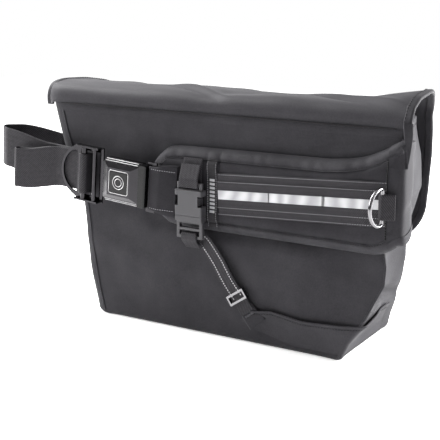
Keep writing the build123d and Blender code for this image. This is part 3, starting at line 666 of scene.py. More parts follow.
@dataclass(frozen=True)
class ReflectiveTape:
    """Silver glass-bead tape: a bright face with a fine bead grain, and painted shade in soft distorted
    bands where creases would darken it.
    """

    name: str = "glass_bead_tape"
    colour: str = "#b4b4b6"
    shade: str = "#8f8f92"

    def build(self) -> bpy.types.Material:
        """Make the material."""
        material, tree, shader = new_material(self.name)
        where = add_node(tree, "TexCoord")
        beads = add_node(tree, "TexNoise", Vector=where.outputs["Object"], Scale=900.0, Detail=1.0)
        # painted shade: distorted bands that darken the tape towards its shade colour, standing in for
        # creases that the shape lacks
        crease = add_node(
            tree,
            "TexWave",
            {"wave_type": "BANDS", "bands_direction": "X"},
            Vector=where.outputs["UV"],
            Scale=16.0,
            Distortion=7.0,
            Detail=3.0,
        )
        blend = add_node(
            tree,
            "Mix",
            {"data_type": "RGBA"},
            Factor=crease.outputs["Fac"],
            i6=linear(self.shade),
            i7=linear(self.colour),
        )
        relief = add_node(
            tree, "Bump", Height=beads.outputs["Fac"], Distance=0.05 * MM, Strength=0.5
        )
        fill_inputs(
            tree,
            shader,
            Base_Color=blend.outputs[2],
            Roughness=0.42,
            Metallic=0.15,
            Normal=relief.outputs["Normal"],
        )
        return material


@dataclass
class Finishes:
    """Every finish of the bag, made once and shared."""

    made: dict[str, bpy.types.Material] = field(default_factory=dict)

    def __post_init__(self) -> None:
        """Make the materials."""
        recipes = [
            # PU-coated polyester: matt charcoal with soft clouding, the bag's main colour
            WovenCloth("coated_polyester", "#29282b", "#323134"),
            # the same cloth made paler: painted light for the flap's top-lit crown, also used on the wing
            # and its rolled edge
            WovenCloth("coated_polyester_painted_light", "#302f32", "#373639", thread_mm=1.7),
            # PVC tarpaulin: smoother and slightly shinier than the shell
            WovenCloth("tarpaulin_lining", "#2c2c2f", "#38383b", relief_mm=0.04, roughness=0.5, sheen=0.05),
            # grosgrain edge tape: fine ribs that catch the light along every edge
            WovenCloth("edge_tape", "#28272a", "#3a393c", thread_mm=1.1, relief_mm=0.14, roughness=0.6),
            # brushed face cloth of the cushion: the darkest and flattest cloth
            WovenCloth("pad_face_cloth", "#232225", "#2d2c2f", thread_mm=1.4),
            # knitted spacer mesh: open and rough
            WovenCloth("spacer_mesh", "#202022", "#2b2b2d", thread_mm=2.6, relief_mm=0.5, roughness=0.85),
            # hook and loop tape: near black and fuzzy
            WovenCloth("hook_and_loop", "#1c1c1d", "#2a2a2b", thread_mm=1.2, relief_mm=0.6, roughness=0.95),
            # satin-woven label ribbon: tight and smooth
            WovenCloth("label_ribbon", "#232224", "#2b2a2c", thread_mm=0.9, relief_mm=0.05, roughness=0.5),
            # bonded nylon thread in three shades: mid grey, near white and near black dashes; the near black
            # one also paints the shadow in the seam under the flap
            WovenCloth("thread_grey", "#77767a", "#8a898d", thread_mm=0.8, roughness=0.6),
            WovenCloth("thread_light", "#b5b4b7", "#c8c7ca", thread_mm=0.8, roughness=0.6),
            WovenCloth("dark_thread_and_painted_shade", "#1d1c1e", "#262527", thread_mm=0.8, roughness=0.6),
            # seat-belt nylon, woven: slanting twill with a faint gloss, loose strap and sewn webbing
            Webbing("nylon_webbing", "#211f22", "#363538"),
            Webbing("pad_webbing", "#211f22", "#353437"),
            # die-cast zinc under black nickel: dark mirror with crisp highlights
            PlatedMetal("black_nickel", "#333234", 0.16, round_mm=0.25),
            # nickel-plated spring steel: bright and sharp
            PlatedMetal("bright_nickel", "#a3a2a3", 0.14),
            # nickel-plated wire: mid grey with a bright line along the bend
            PlatedMetal("grey_nickel", "#7a797b", 0.2),
            # pale nickel: painted highlights as thin wires along the buckle cover's edges, and the plain
            # rings on the push button
            PlatedMetal("pale_nickel_and_painted_highlight", "#b4b3b4", 0.45),
            # moulded acetal: satin grey clip, and a nearly black glossy button
            MouldedPlastic("acetal_grey", "#38373a", 0.42),
            MouldedPlastic("acetal_black", "#070708", 0.22, gloss=0.25),
            # glass-bead tape: silver band with painted crease shade in soft bands, the brightest thing on
            # the bag
            ReflectiveTape(),
        ]
        for recipe in recipes:
            self.made[recipe.name] = recipe.build()

    def dress(self, piece: bpy.types.Object, *names: str) -> None:
        """Give a piece its finishes, in order of its material slots."""
        piece.data.materials.clear()
        for name in names:
            piece.data.materials.append(self.made[name])

    def put(
        self,
        piece: bpy.types.Object,
        looks: str | tuple[str, ...],
        body: str,
        slot: str,
        nodes: tuple[str, ...] = (),
    ) -> None:
        """Finish a piece and let it ride on a body.

        Args:
            piece: the finished mesh.
            looks: name of its finish, or one name for each material slot.
            body: CAD body that it moves with.
            slot: material slot that the piece is meant to take; not used.
            nodes: CAD nodes that it stands for.
        """
        self.dress(piece, *([looks] if isinstance(looks, str) else looks))
        place(piece, body, nodes)


def place(piece: bpy.types.Object, body: str, nodes: tuple[str, ...] = ()) -> None:
    """Let a finished piece ride on a body and stand for its CAD nodes.

    Args:
        piece: the finished piece.
        body: CAD body that it moves with.
        nodes: CAD nodes that it stands for.
    """
    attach(piece, body)
    if nodes:
        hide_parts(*nodes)
    log.info("%s rides on %s", piece.name, body)


def bridge(
    piece: bpy.types.Object,
    bodies: tuple[str, str],
    nodes: tuple[str, ...] = (),
) -> None:
    """Bake a finished piece's transform into its mesh and hide the CAD nodes that it stands for; it rides on
    neither body.

    Args:
        piece: the finished piece, which rides on nothing yet.
        bodies: the body before the bend and the body after it.
        nodes: CAD nodes that it stands for.
    """
    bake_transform(piece)
    if nodes:
        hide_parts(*nodes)
    log.info("%s bends between %s and %s", piece.name, *bodies)


# ------------------------------------------------------------------ bag body
def behind(x: Array, z: Array, out: Array) -> Array:
    """Points on the harness side: x and z as given, and out measured away from the back panel."""
    x, z, out = np.broadcast_arrays(x, z, out)
    return np.stack([x, BACK - out, z], -1)


def normals_of(grid: Array) -> Array:
    """Unit normals of a grid of points, from the cross product of its two gradients."""
    return unit(np.cross(np.gradient(grid, axis=0), np.gradient(grid, axis=1)))


def metric_uv(grid: Array) -> Array:
    """UV map in metres: mean distance run along the rows and along the columns."""
    down = np.linalg.norm(np.diff(grid, axis=0), axis=2).mean(1)
    over = np.linalg.norm(np.diff(grid, axis=1), axis=2).mean(0)
    v = np.concatenate([[0.0], np.cumsum(down)])
    u = np.concatenate([[0.0], np.cumsum(over)])
    return np.stack(np.broadcast_arrays(u[None, :], v[:, None]), -1)


def slab(name: str, face: Array, under: Array, around: bool = False) -> bpy.types.Object:
    """Closed piece between two grids of the same shape, joined along their borders.

    Args:
        name: name of the piece.
        face: the side that is seen; it takes the first material.
        under: the other side; it takes the second material.
        around: the last column joins the first, as on a tub.

    Returns:
        The closed piece.
    """
    rows, cols = face.shape[:2]
    index = np.arange(rows * cols).reshape(rows, cols)
    quads = grid_faces(index, around)
    if around:
        rim = np.append(index[-1], index[-1, 0])  # a tub is open only at its last row
    else:
        rim = np.concatenate([index[0], index[1:, -1], index[-1, -2::-1], index[-2::-1, 0]])
    edge = np.stack([rim[:-1], rim[1:], rim[1:] + rows * cols, rim[:-1] + rows * cols], -1)
    faces = np.concatenate([quads, quads[:, ::-1] + rows * cols, edge])
    points = np.concatenate([face.reshape(-1, 3), under.reshape(-1, 3)])
    slots = np.zeros(len(faces), np.int32)
    slots[len(quads) : 2 * len(quads)] = 1
    uv = np.tile(metric_uv(face).reshape(-1, 2), (2, 1))
    return tidy_mesh(new_piece(name, points, faces.tolist(), uv, slots), CLOTH_ANGLE)


def rounded_path(points: Array, radii: tuple[float, ...], step: float) -> Array:
    """Line whose corners are true arcs, as a folded strap lies.

    At a corner with half angle h between its two runs, the arc starts r / tan h before the
    corner and its centre is r / sin h along the bisector.

    Args:
        points: corners of the line, first and last included.
        radii: one radius for each inner corner.
        step: largest distance between points of the result.

    Returns:
        Points along the line.
    """
    points = np.asarray(points, float)
    stops = [points[:1]]
    for corner, before, after, radius in zip(points[1:-1], points[:-2], points[2:], radii):
        a, b = unit(before - corner), unit(after - corner)
        half = math.acos(float(np.clip(a @ b, -1, 1))) / 2
        reach = min(
            radius / math.tan(half),
            0.49 * float(np.linalg.norm(before - corner)),
            0.49 * float(np.linalg.norm(after - corner)),
        )
        radius = reach * math.tan(half)
        centre = corner + unit(a + b) * radius / math.sin(half)
        first, last = corner + a * reach - centre, corner + b * reach - centre
        u = unit(first)
        v = unit(last - (last @ u) * u)
        angle = np.linspace(0, math.pi - 2 * half, 9)[:, None]
        stops.append(centre + radius * (np.cos(angle) * u + np.sin(angle) * v))
    stops.append(points[-1:])
    line = np.concatenate(stops)
    run = arc_lengths(line)
    keep = np.unique(np.concatenate([run, np.arange(0, run[-1], step)]).round(7))
    return sample(keep, run, line)


@dataclass
class BagShell:
    """The bag's tub: a lofted cloth shell that swells between its seams, with its lining."""

    finishes: Finishes
    base_half: float = 165 * MM
    top_half: float = 235 * MM
    seam: float = 258 * MM  # height of the seam between the back and the flap
    mouth: float = 251 * MM  # height of the walls at the front and the sides
    back: float = BACK
    front_base: float = 75 * MM
    front_lean: float = 32 * MM  # how far the front has leant back at the seam's height
    hem: float = 8 * MM
    back_swell: float = 5.5 * MM
    front_swell: float = 2.2 * MM
    side_tuck: float = 9.0 * MM
    waist: float = 0.065  # how far the left side draws in at strap height, as a share
    wall: float = 2.2 * MM
    wide: int = 96  # columns across the back, and across the front
    side: int = 26  # columns along each side
    round: int = 10  # columns round each corner

    def columns(self) -> Array:
        """The plan's outline, as px, py and angle for each column.

        A point of the outline lies at px, py on the square of the corner circles' centres and
        then one corner radius away at the angle.
        """
        def row(count: int, px: tuple, py: tuple, angle: tuple) -> Array:
            """Evenly spaced columns from the first values to the last, without the last."""
            t = np.linspace(0, 1, count, endpoint=False)
            return np.stack([a + (b - a) * t for a, b in (px, py, angle)], 1)

        q = math.pi / 2
        return np.concatenate([
            row(self.wide, (-1, 1), (-1, -1), (-q, -q)),
            row(self.round, (1, 1), (-1, -1), (-q, 0)),
            row(self.side, (1, 1), (-1, 1), (0, 0)),
            row(self.round, (1, 1), (1, 1), (0, q)),
            row(self.wide, (1, -1), (1, 1), (q, q)),
            row(self.round, (-1, -1), (1, 1), (q, 2 * q)),
            row(self.side, (-1, -1), (1, -1), (2 * q, 2 * q)),
            row(self.round, (-1, -1), (-1, -1), (2 * q, 3 * q)),
        ])

    def right_side(self) -> int:
        """Number of the first column of the right side."""
        return self.wide + self.round

    def half_width(self, z: Array) -> Array:
        """Half the width at a height: it grows evenly from the base to the seam."""
        return self.base_half + (self.top_half - self.base_half) * z / self.seam

    def front(self, z: Array) -> Array:
        """Y of the front wall at a height: it leans back evenly."""
        return self.front_base - self.front_lean * z / self.seam

    def at(self, z: Array, columns: Array, out: Array = 0.0) -> Array:
        """Points on the shell, or a distance out from it.

        The plan is a rectangle with round corners. It narrows towards the front by the pinch,
        draws in at the left by the waist, flares at the right below the harness, and each wall
        then moves out by its swell.

        Args:
            z: heights, rows by columns or one for each row.
            columns: px, py and angle of each column.
            out: distance out from the cloth's face.

        Returns:
            Points, rows by columns by three.
        """
        z = z if np.ndim(z) == 2 else np.repeat(np.asarray(z)[:, None], len(columns), 1)
        px, py, angle = (columns[None, :, k] for k in range(3))
        # corner radius: 5 mm at the back right, 17 mm at the front, 17 to 27 mm at the back left
        radius = (11 + 6 * py + (1 - px) * (1 - py) * (3 + 2.6 * z / self.seam)) * MM
        half, depth = self.half_width(z), (self.front(z) - self.back) / 2
        x = px * (half - radius) + radius * np.cos(angle)
        y = self.back + depth + py * (depth - radius) + radius * np.sin(angle)
        share = np.clip((y - self.back) / (2 * depth), 0, 1)  # 0 at the back, 1 at the front
        pinch = np.interp(z, vec(0, 60, 125, 178, 215, 258), vec(0, 6, 14, 8, 18, 38))
        x = x * (1 - pinch * share / half)
        x = x * (1 - self.waist * bump_at(z, 138 * MM, 62 * MM) * ease(0.3 * half, half, -x))
        flare = np.interp(z, vec(0, 20, 50, 92, 112, 135, 170, 258), vec(0, 4, 17, 27, 23, 13, 3, 0))
        x = x + flare * ease(0.35 * half, 0.95 * half, x) * (1 - 0.55 * share)
        nx, ny = np.cos(angle) + 0 * z, np.sin(angle) + 0 * z
        move = self.swell(x, share, z, nx, ny) + out
        return np.stack([x + nx * move, y + ny * move, z], -1)

    def swell(self, x: Array, share: Array, z: Array, nx: Array, ny: Array) -> Array:
        """How far the cloth stands out from its flat panel.

        Front and back swell as a half wave across and up, the sides tuck in, and soft ripples
        and a few long creases lie over that. The swell fades at the base, at the mouth and
        behind the harness pad.
        """
        across = np.clip(x / self.half_width(z), -1, 1)
        up = np.clip(z / self.seam, 0, 1)
        dome = np.cos(across * math.pi / 2) ** 0.6 * np.sin(up * math.pi) ** 0.7
        back, front = np.clip(-ny, 0, 1), np.clip(ny, 0, 1)
        pad = ease(-88 * MM, -62 * MM, x) * ease(112 * MM, 130 * MM, z)
        pad = pad * (1 - ease(222 * MM, 236 * MM, z))
        # a belly low on the right, a long fold under the flap and two creases on the left
        low = bump_at(x, 118 * MM, 46 * MM) * bump_at(z, 82 * MM, 38 * MM) * 7 * MM
        lines = ripples(x, z, 130 * MM, 3) * 2.4 * MM + ripples(x, z, 52 * MM, 8) * 0.9 * MM
        fold = bump_at(z - 0.2 * x, 203 * MM, 5 * MM) * ease(80 * MM, 170 * MM, x) * -3.0 * MM
        crease = bump_at(x + 0.3 * z, -142 * MM, 9 * MM) * ease(10 * MM, 90 * MM, z) * -1.2 * MM
        slack = bump_at(z + 0.16 * x, 66 * MM, 11 * MM) * np.clip(1 - across, 0, 1) * 0.9 * MM
        total = back * (dome * self.back_swell + low + fold + crease + slack) * (1 - pad)
        total = total + front * dome * self.front_swell + (back * (1 - pad) + front * 0.4) * lines
        # the sides are drawn in, most at 100 mm, and the right one is pleated under the harness
        tuck = bump_at(z, 100 * MM, 34 * MM) * 1.6 - bump_at(z, 182 * MM, 34 * MM) * 0.5
        tuck = (tuck + 0.3) * np.abs(nx) * np.sin(share * math.pi) ** 0.8
        total = total - tuck * self.side_tuck
        crumple = np.abs(nx) * ripples(share * 0.15, z, 46 * MM, 21) * 2.2 * MM
        pleats = bump_at(z + 26 * MM * share, 74 * MM, 8 * MM) + 0.8 * bump_at(
            z - 14 * MM * share, 112 * MM, 9 * MM)
        crumple = crumple - np.clip(nx, 0, 1) * pleats * 11 * MM
        total = total + crumple * np.sin(share * math.pi)
        return total * ease(0, 40 * MM, z) * (1 - 0.75 * ease(225 * MM, 256 * MM, z))

    def tub(self, inset: float, low: float) -> Array:
        """The whole tub as one grid, from the middle of the base out, round the hem and up.

        Args:
            inset: distance in from the outer face.
            low: height of the base.

        Returns:
            Points, rows by columns by three.
        """
        columns = self.columns()
        rise = np.linspace(0, 1, 90) ** 1.05
        edge = (1 - columns[:, 1]) / 2 * (columns[:, 1] < -0.999)
        top = self.mouth + (self.seam - self.mouth - 0.5 * MM) * edge
        z = low + self.hem + (top[None, :] - low - self.hem) * rise[:, None]
        walls = self.at(z, columns, -inset)
        foot = self.at(np.full((1, len(columns)), low + self.hem), columns, -inset)[0]
        middle = (self.back + self.front_base) / 2
        turn = np.linspace(math.pi / 2, 0, 7, endpoint=False)[:, None]
        side = unit(np.stack([columns[:, 0] ** 9, columns[:, 1] ** 9], 1) + 1e-9)
        round_hem = np.stack([
            foot[None, :, 0] - side[None, :, 0] * self.hem * (1 - np.cos(turn)),
            foot[None, :, 1] - side[None, :, 1] * self.hem * (1 - np.cos(turn)),
            low + self.hem * (1 - np.sin(turn)) + 0 * foot[None, :, 0],
        ], -1)
        share = np.linspace(0, 1, 16, endpoint=False)[:, None]
        edge_ring = round_hem[0]
        flat = np.stack([
            edge_ring[None, :, 0] + 0 * share,
            middle + (edge_ring[None, :, 1] - middle) * share,
            edge_ring[None, :, 2] + 0 * share,
        ], -1)
        return np.concatenate([flat, round_hem, walls])

    def build(self) -> None:
        """Build the shell, its lining, the bound mouth, the taped seam and the corner piping."""
        shell = slab("bag_shell", self.tub(0.0, 0.0), self.tub(self.wall, self.wall), around=True)
        walls = ("back_panel", "front_panel", "gusset_left", "gusset_right", "base_panel")
        self.finishes.put(shell, ("coated_polyester", "tarpaulin_lining"), "bag", "shell_cloth", walls)
        # the lining hangs inside the shell and over the base board
        lining = slab("bag_lining", self.tub(4.4 * MM, 7.6 * MM), self.tub(3.2 * MM, 6.9 * MM),
                      around=True)
        self.finishes.put(
            lining, ("tarpaulin_lining", "tarpaulin_lining"), "bag", "liner_cloth", ("liner",)
        )
        self.build_mouth()
        self.build_seam_tape()
        self.build_seam_shadow()
        self.build_piping()

    def build_mouth(self) -> None:
        """Bound edge round the front and the sides of the mouth."""
        ring = self.columns()[self.right_side() + 2 : -self.round]  # all but the back and its corners
        height = self.mouth + 2.2 * MM
        path = self.at(np.full((1, len(ring)), height), ring, -1.4 * MM)[0]
        band = sweep("mouth_binding_tape", path, (0, 0, 1), band_profile(9.5 * MM, 4.4 * MM))
        self.finishes.put(band, "edge_tape", "bag", "binding_tape", ("mouth_binding",))
        out = unit(np.stack([np.cos(ring[:, 2]), np.sin(ring[:, 2]), 0 * ring[:, 2]], 1))
        line = path + out * 2.3 * MM - np.array([0, 0, 3.0 * MM])
        thread = stitch_row("mouth_stitching", line, out)
        self.finishes.put(thread, "dark_thread_and_painted_shade", "bag", "thread")

    def build_seam_tape(self) -> None:
        """Tape that closes the seam under the flap."""
        columns = self.columns()[: self.wide + 1]
        z = np.linspace(247.5, 257.4, 7) * MM
        curve = np.sin(np.linspace(0, math.pi, 7))[:, None] ** 0.4
        face = self.at(z, columns, 0.1 * MM + 0.35 * MM * curve)
        under = self.at(z, columns, -0.8 * MM)
        tape = slab("seam_cover_tape", face, under)
        self.finishes.put(
            tape, ("coated_polyester", "coated_polyester"), "bag", "binding_tape", ("seam_tape",)
        )

    def build_seam_shadow(self) -> None:
        """Painted shade: a dark cord in the seam between the flap and the back, standing in for the shadow
        in the seam's gap.
        """
        x = np.linspace(-205, 222, 200) * MM
        out = np.interp(x, vec(-205, -190, 205, 222), vec(0.8, 2.6, 2.6, 1.6))
        path = behind(x, 256.6 * MM, out)
        cord = sweep("seam_shadow_cord", path, (0, 0, 1), round_profile(0.9 * MM, 6))
        self.finishes.put(cord, "dark_thread_and_painted_shade", "bag", "thread")

    def build_piping(self) -> None:
        """Piped seams where the back meets the sides: a thin covered cord up each corner."""
        z = np.linspace(5, 247, 90) * MM
        half = self.half_width(z)
        reach = np.interp(z, vec(0, 258), vec(17.5, 28.5))  # a little over the corner's radius
        back = np.stack([-(half - reach) / (half - reach + 0.5 * MM), 0 * z - 1, 0 * z - math.pi / 2], 1)
        corner = np.repeat(self.columns()[self.wide + 3][None], len(z), 0)
        for name, spots in (("left", back), ("right", corner)):
            path = self.at(z[None, :], spots, 0.1 * MM)[0]
            cord = sweep(f"corner_piping_{name}", path, (1, 0, 0), round_profile(1.15 * MM, 12))
            self.finishes.put(cord, "edge_tape", "bag", "binding_tape", ("back_piping",))


@dataclass
class FrontPocket:
    """Zipped pocket on the front, under the flap, with its loop strips and its zip."""

    finishes: Finishes
    shell: BagShell
    half: float = 118 * MM
    low: float = 25 * MM
    high: float = 188 * MM
    depth: float = 7.5 * MM
    strip_middle: float = 62 * MM  # distance of each loop strip from the centre line

    def face(self, x: Array, z: Array, out: float = 0.0) -> Array:
        """Pocket's face: the front wall, moved out by a dome with steep sides."""
        across = 1 - np.abs(x / self.half) ** 8
        up = 1 - np.abs((z - (self.low + self.high) / 2) * 2 / (self.high - self.low)) ** 8
        lift = self.depth * np.clip(across, 0, 1) ** 0.5 * np.clip(up, 0, 1) ** 0.5
        wall = self.shell.front(z) + self.shell.front_swell
        soft = ripples(x, z, 90 * MM, 31) * 0.5 * MM
        return np.stack([x, wall + lift * (1 + soft / self.depth) + out, z], -1)

    def build(self) -> None:
        """Build the pocket, the loop strips, the zip tape and its teeth."""
        x, z = np.meshgrid(np.linspace(-1, 1, 90) * self.half, np.linspace(self.low, self.high, 60))
        face = self.face(x, z)
        under = np.stack([x, self.shell.front(z) - 0.4 * MM, z], -1)
        pocket = slab("front_pocket_cloth", face, under)
        self.finishes.put(
            pocket, ("coated_polyester", "tarpaulin_lining"), "bag", "shell_cloth", ("front_pocket",)
        )
        for side, name in ((-1, "left"), (1, "right")):
            x, z = np.meshgrid(self.strip_middle * side + np.linspace(-44, 44, 30) * MM,
                               np.linspace(121.5, 146.5, 10) * MM)
            strip = slab(f"loop_strip_{name}", self.face(x, z, 0.9 * MM), self.face(x, z, -0.6 * MM))
            self.finishes.put(
                strip, ("hook_and_loop", "hook_and_loop"), "bag", "hook_and_loop", ("loop_strips",)
            )
        self.build_zip()

    def build_zip(self) -> None:
        """Zip on the pocket's top edge: woven tape with a row of moulded teeth."""
        low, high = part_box("pocket_zip")
        middle = (low[1] + high[1]) / 2
        x = np.linspace(low[0], high[0], 80)
        path = np.stack([x, 0 * x + middle, 0 * x + high[2] - 0.5 * MM], 1)
        tape = sweep("pocket_zip_tape", path, (0, 1, 0), band_profile(high[1] - low[1], 1.1 * MM))
        self.finishes.put(tape, "edge_tape", "bag", "zip_tape", ("pocket_zip",))
        teeth = stitch_row("pocket_zip_teeth", path + np.array([0, 0, 0.45 * MM]), (0, 0, 1),
                           pitch=2.4 * MM, fill=0.6, radius=0.7 * MM)
        self.finishes.put(teeth, "acetal_black", "bag", "zip_tape")


@dataclass
class Flap:
    """The flap: one cloth sheet from the seam over the crown and down the front, bound all round."""

    finishes: Finishes
    half: float = 237 * MM
    fold_half: float = 214 * MM
    hem_half: float = 197 * MM
    corner: float = 52 * MM
    thick: float = 2.2 * MM
    rows: int = 120
    cols: int = 150
    bend: tuple[Array, Array] = (vec(0, 38, 276), vec(0, 66, 240))

    def left_section(self) -> Array:
        """Outline y, z at the left and in the middle: it rises straight from the seam and is flat."""
        return vec(-76.4, 257.6, -79.2, 264, -76.5, 274, -65, 278.6, -40, 280, -5, 278.4, 30, 272.5,
                   50, 264, 57.5, 254, 61, 240, 70, 170, 77, 100).reshape(-1, 2)

    def right_section(self) -> Array:
        """Outline y, z at the right end: a round arch."""
        return vec(-76.4, 257.6, -77.6, 265, -71, 277, -54, 286, -26, 289.5, 2, 288, 26, 280,
                   43, 266, 53, 246, 60, 215, 69, 160, 77, 100).reshape(-1, 2)

    def outward(self, points: Array) -> Array:
        """Unit normals of the sheet, turned so that they point up on the crown."""
        normal = normals_of(points)
        return normal * np.sign(normal[self.rows // 4, self.cols // 2, 2])

    def grid(self) -> Array:
        """The sheet's outer face.

        The two end outlines are mixed across the width. Half the width follows the distance
        run from the seam, and shrinks by a quarter circle at the hem. Ripples, creases and a
        sag in the middle then move each point along the normal.
        """
        left = smooth_path(self.left_section(), self.rows, 6)
        right = smooth_path(self.right_section(), self.rows, 6)
        t = np.sin(np.linspace(-1, 1, self.cols) * 1.25) / math.sin(1.25)
        mix = (ease(0.62, 1.0, t) + 0.22 * ease(0.85, 1.0, -t))[None, :, None]
        section = left[:, None] * (1 - mix) + right[:, None] * mix
        run = arc_lengths(left)
        half = np.interp(run, vec(0, 70, 150, 200, run[-1] / MM),
                         np.array([self.half, self.half, self.fold_half, self.fold_half - 4 * MM,
                                   self.hem_half]))
        left_over = np.clip(self.corner - (run[-1] - run), 0, self.corner)
        half = half - (self.corner - np.sqrt(self.corner**2 - left_over**2))
        x = t[None, :] * half[:, None]
        points = np.concatenate([x[..., None], section], 2)
        along = run[:, None] + 0 * x
        bend = 30 * MM
        turned = np.clip(-(self.half - bend) - x, 0, bend * 0.86)
        arc = bend - np.sqrt(bend**2 - turned**2)
        points[..., 1] += arc * 0.8 * (1 - ease(18 * MM, 80 * MM, along))
        points[..., 2] -= arc * 0.35 * (1 - ease(0 * MM, 26 * MM, along))
        normal = self.outward(points)
        soft = ripples(x, along, 110 * MM, 14) * 1.9 * MM + ripples(x, along, 46 * MM, 5) * 0.9 * MM
        # each crease: slope against the run, place, half width and height in mm
        creases = ((1.9, -70, 13, -3.2), (1.5, -38, 9, 2.2), (2.2, 120, 15, -3.0), (2.0, 158, 11, 2.2),
                   (-1.1, 40, 20, -1.6))
        crease = bump_at(along, 58 * MM, 46 * MM) * sum(
            bump_at(x + slope * (along - 60 * MM), spot * MM, wide * MM) * tall * MM
            for slope, spot, wide, tall in creases
        )
        drape = np.cos(x / self.half * 9.0 + 0.6) * 1.3 * MM * ease(180 * MM, 300 * MM, along)
        move = (soft + crease) * ease(0, 26 * MM, along) * (1 - 0.7 * ease(120 * MM, 200 * MM, along))
        return points + normal * (move + drape)[..., None]

    def build(self) -> None:
        """Build the sheet, its binding with stitches and the hook strips inside."""
        face = self.grid()
        normal = self.outward(face)
        under = face - normal * self.thick
        cloth = slab("flap_cloth", face, under)
        # the flap's face takes the paler copy of the shell cloth: painted light
        self.finishes.dress(cloth, "coated_polyester_painted_light", "tarpaulin_lining")
        bridge(cloth, ("flap_top", "flap_front"),
               ("flap_top_shell", "flap_front_shell", "flap_top_lining", "flap_front_lining"))
        self.build_binding(face, normal)
        self.build_hooks(under, normal)

    def build_binding(self, face: Array, normal: Array) -> None:
        """Tape folded over the edge: down the left side, along the hem and up the right side."""
        border = np.concatenate([face[:, 0], face[-1, 1:], face[-2::-1, -1]])
        out = np.concatenate([normal[:, 0], normal[-1, 1:], normal[-2::-1, -1]])
        run = arc_lengths(border)
        even = np.linspace(0, run[-1], 420)
        border, out = sample(even, run, border), unit(sample(even, run, out))
        tangent = unit(np.gradient(border, axis=0))
        inward = unit(np.cross(tangent, out))
        inward = inward * np.sign(np.sum(inward * (np.array([0, 30, 200]) * MM - border)))
        pucker = np.sin(even / (5.5 * MM))[:, None] * 0.12 * MM
        path = border + inward * 3.6 * MM - out * (self.thick / 2 - pucker)
        band = sweep("flap_edge_binding", path, inward, band_profile(9.4 * MM, 4.2 * MM))
        self.finishes.dress(band, "edge_tape")
        bridge(band, ("flap_top", "flap_front"),
               ("flap_top_binding", "flap_front_binding"))
        line = path + inward * 3.0 * MM + out * 2.15 * MM
        thread = stitch_row("flap_edge_stitching", line, out)
        self.finishes.dress(thread, "dark_thread_and_painted_shade")
        bridge(thread, ("flap_top", "flap_front"))

    def build_hooks(self, under: Array, normal: Array) -> None:
        """Hook strips on the inner face, low on the front."""
        rows = slice(int(self.rows * 0.835), int(self.rows * 0.915))
        for name, lo, hi in (("left", 0.24, 0.40), ("right", 0.60, 0.76)):
            cols = slice(int(self.cols * lo), int(self.cols * hi))
            near, out = under[rows, cols], normal[rows, cols]
            strip = slab(f"hook_strip_{name}", near - out * 0.9 * MM, near + out * 0.5 * MM)
            self.finishes.put(
                strip, ("hook_and_loop", "hook_and_loop"), "flap_front", "hook_and_loop", ("hook_strips",)
            )


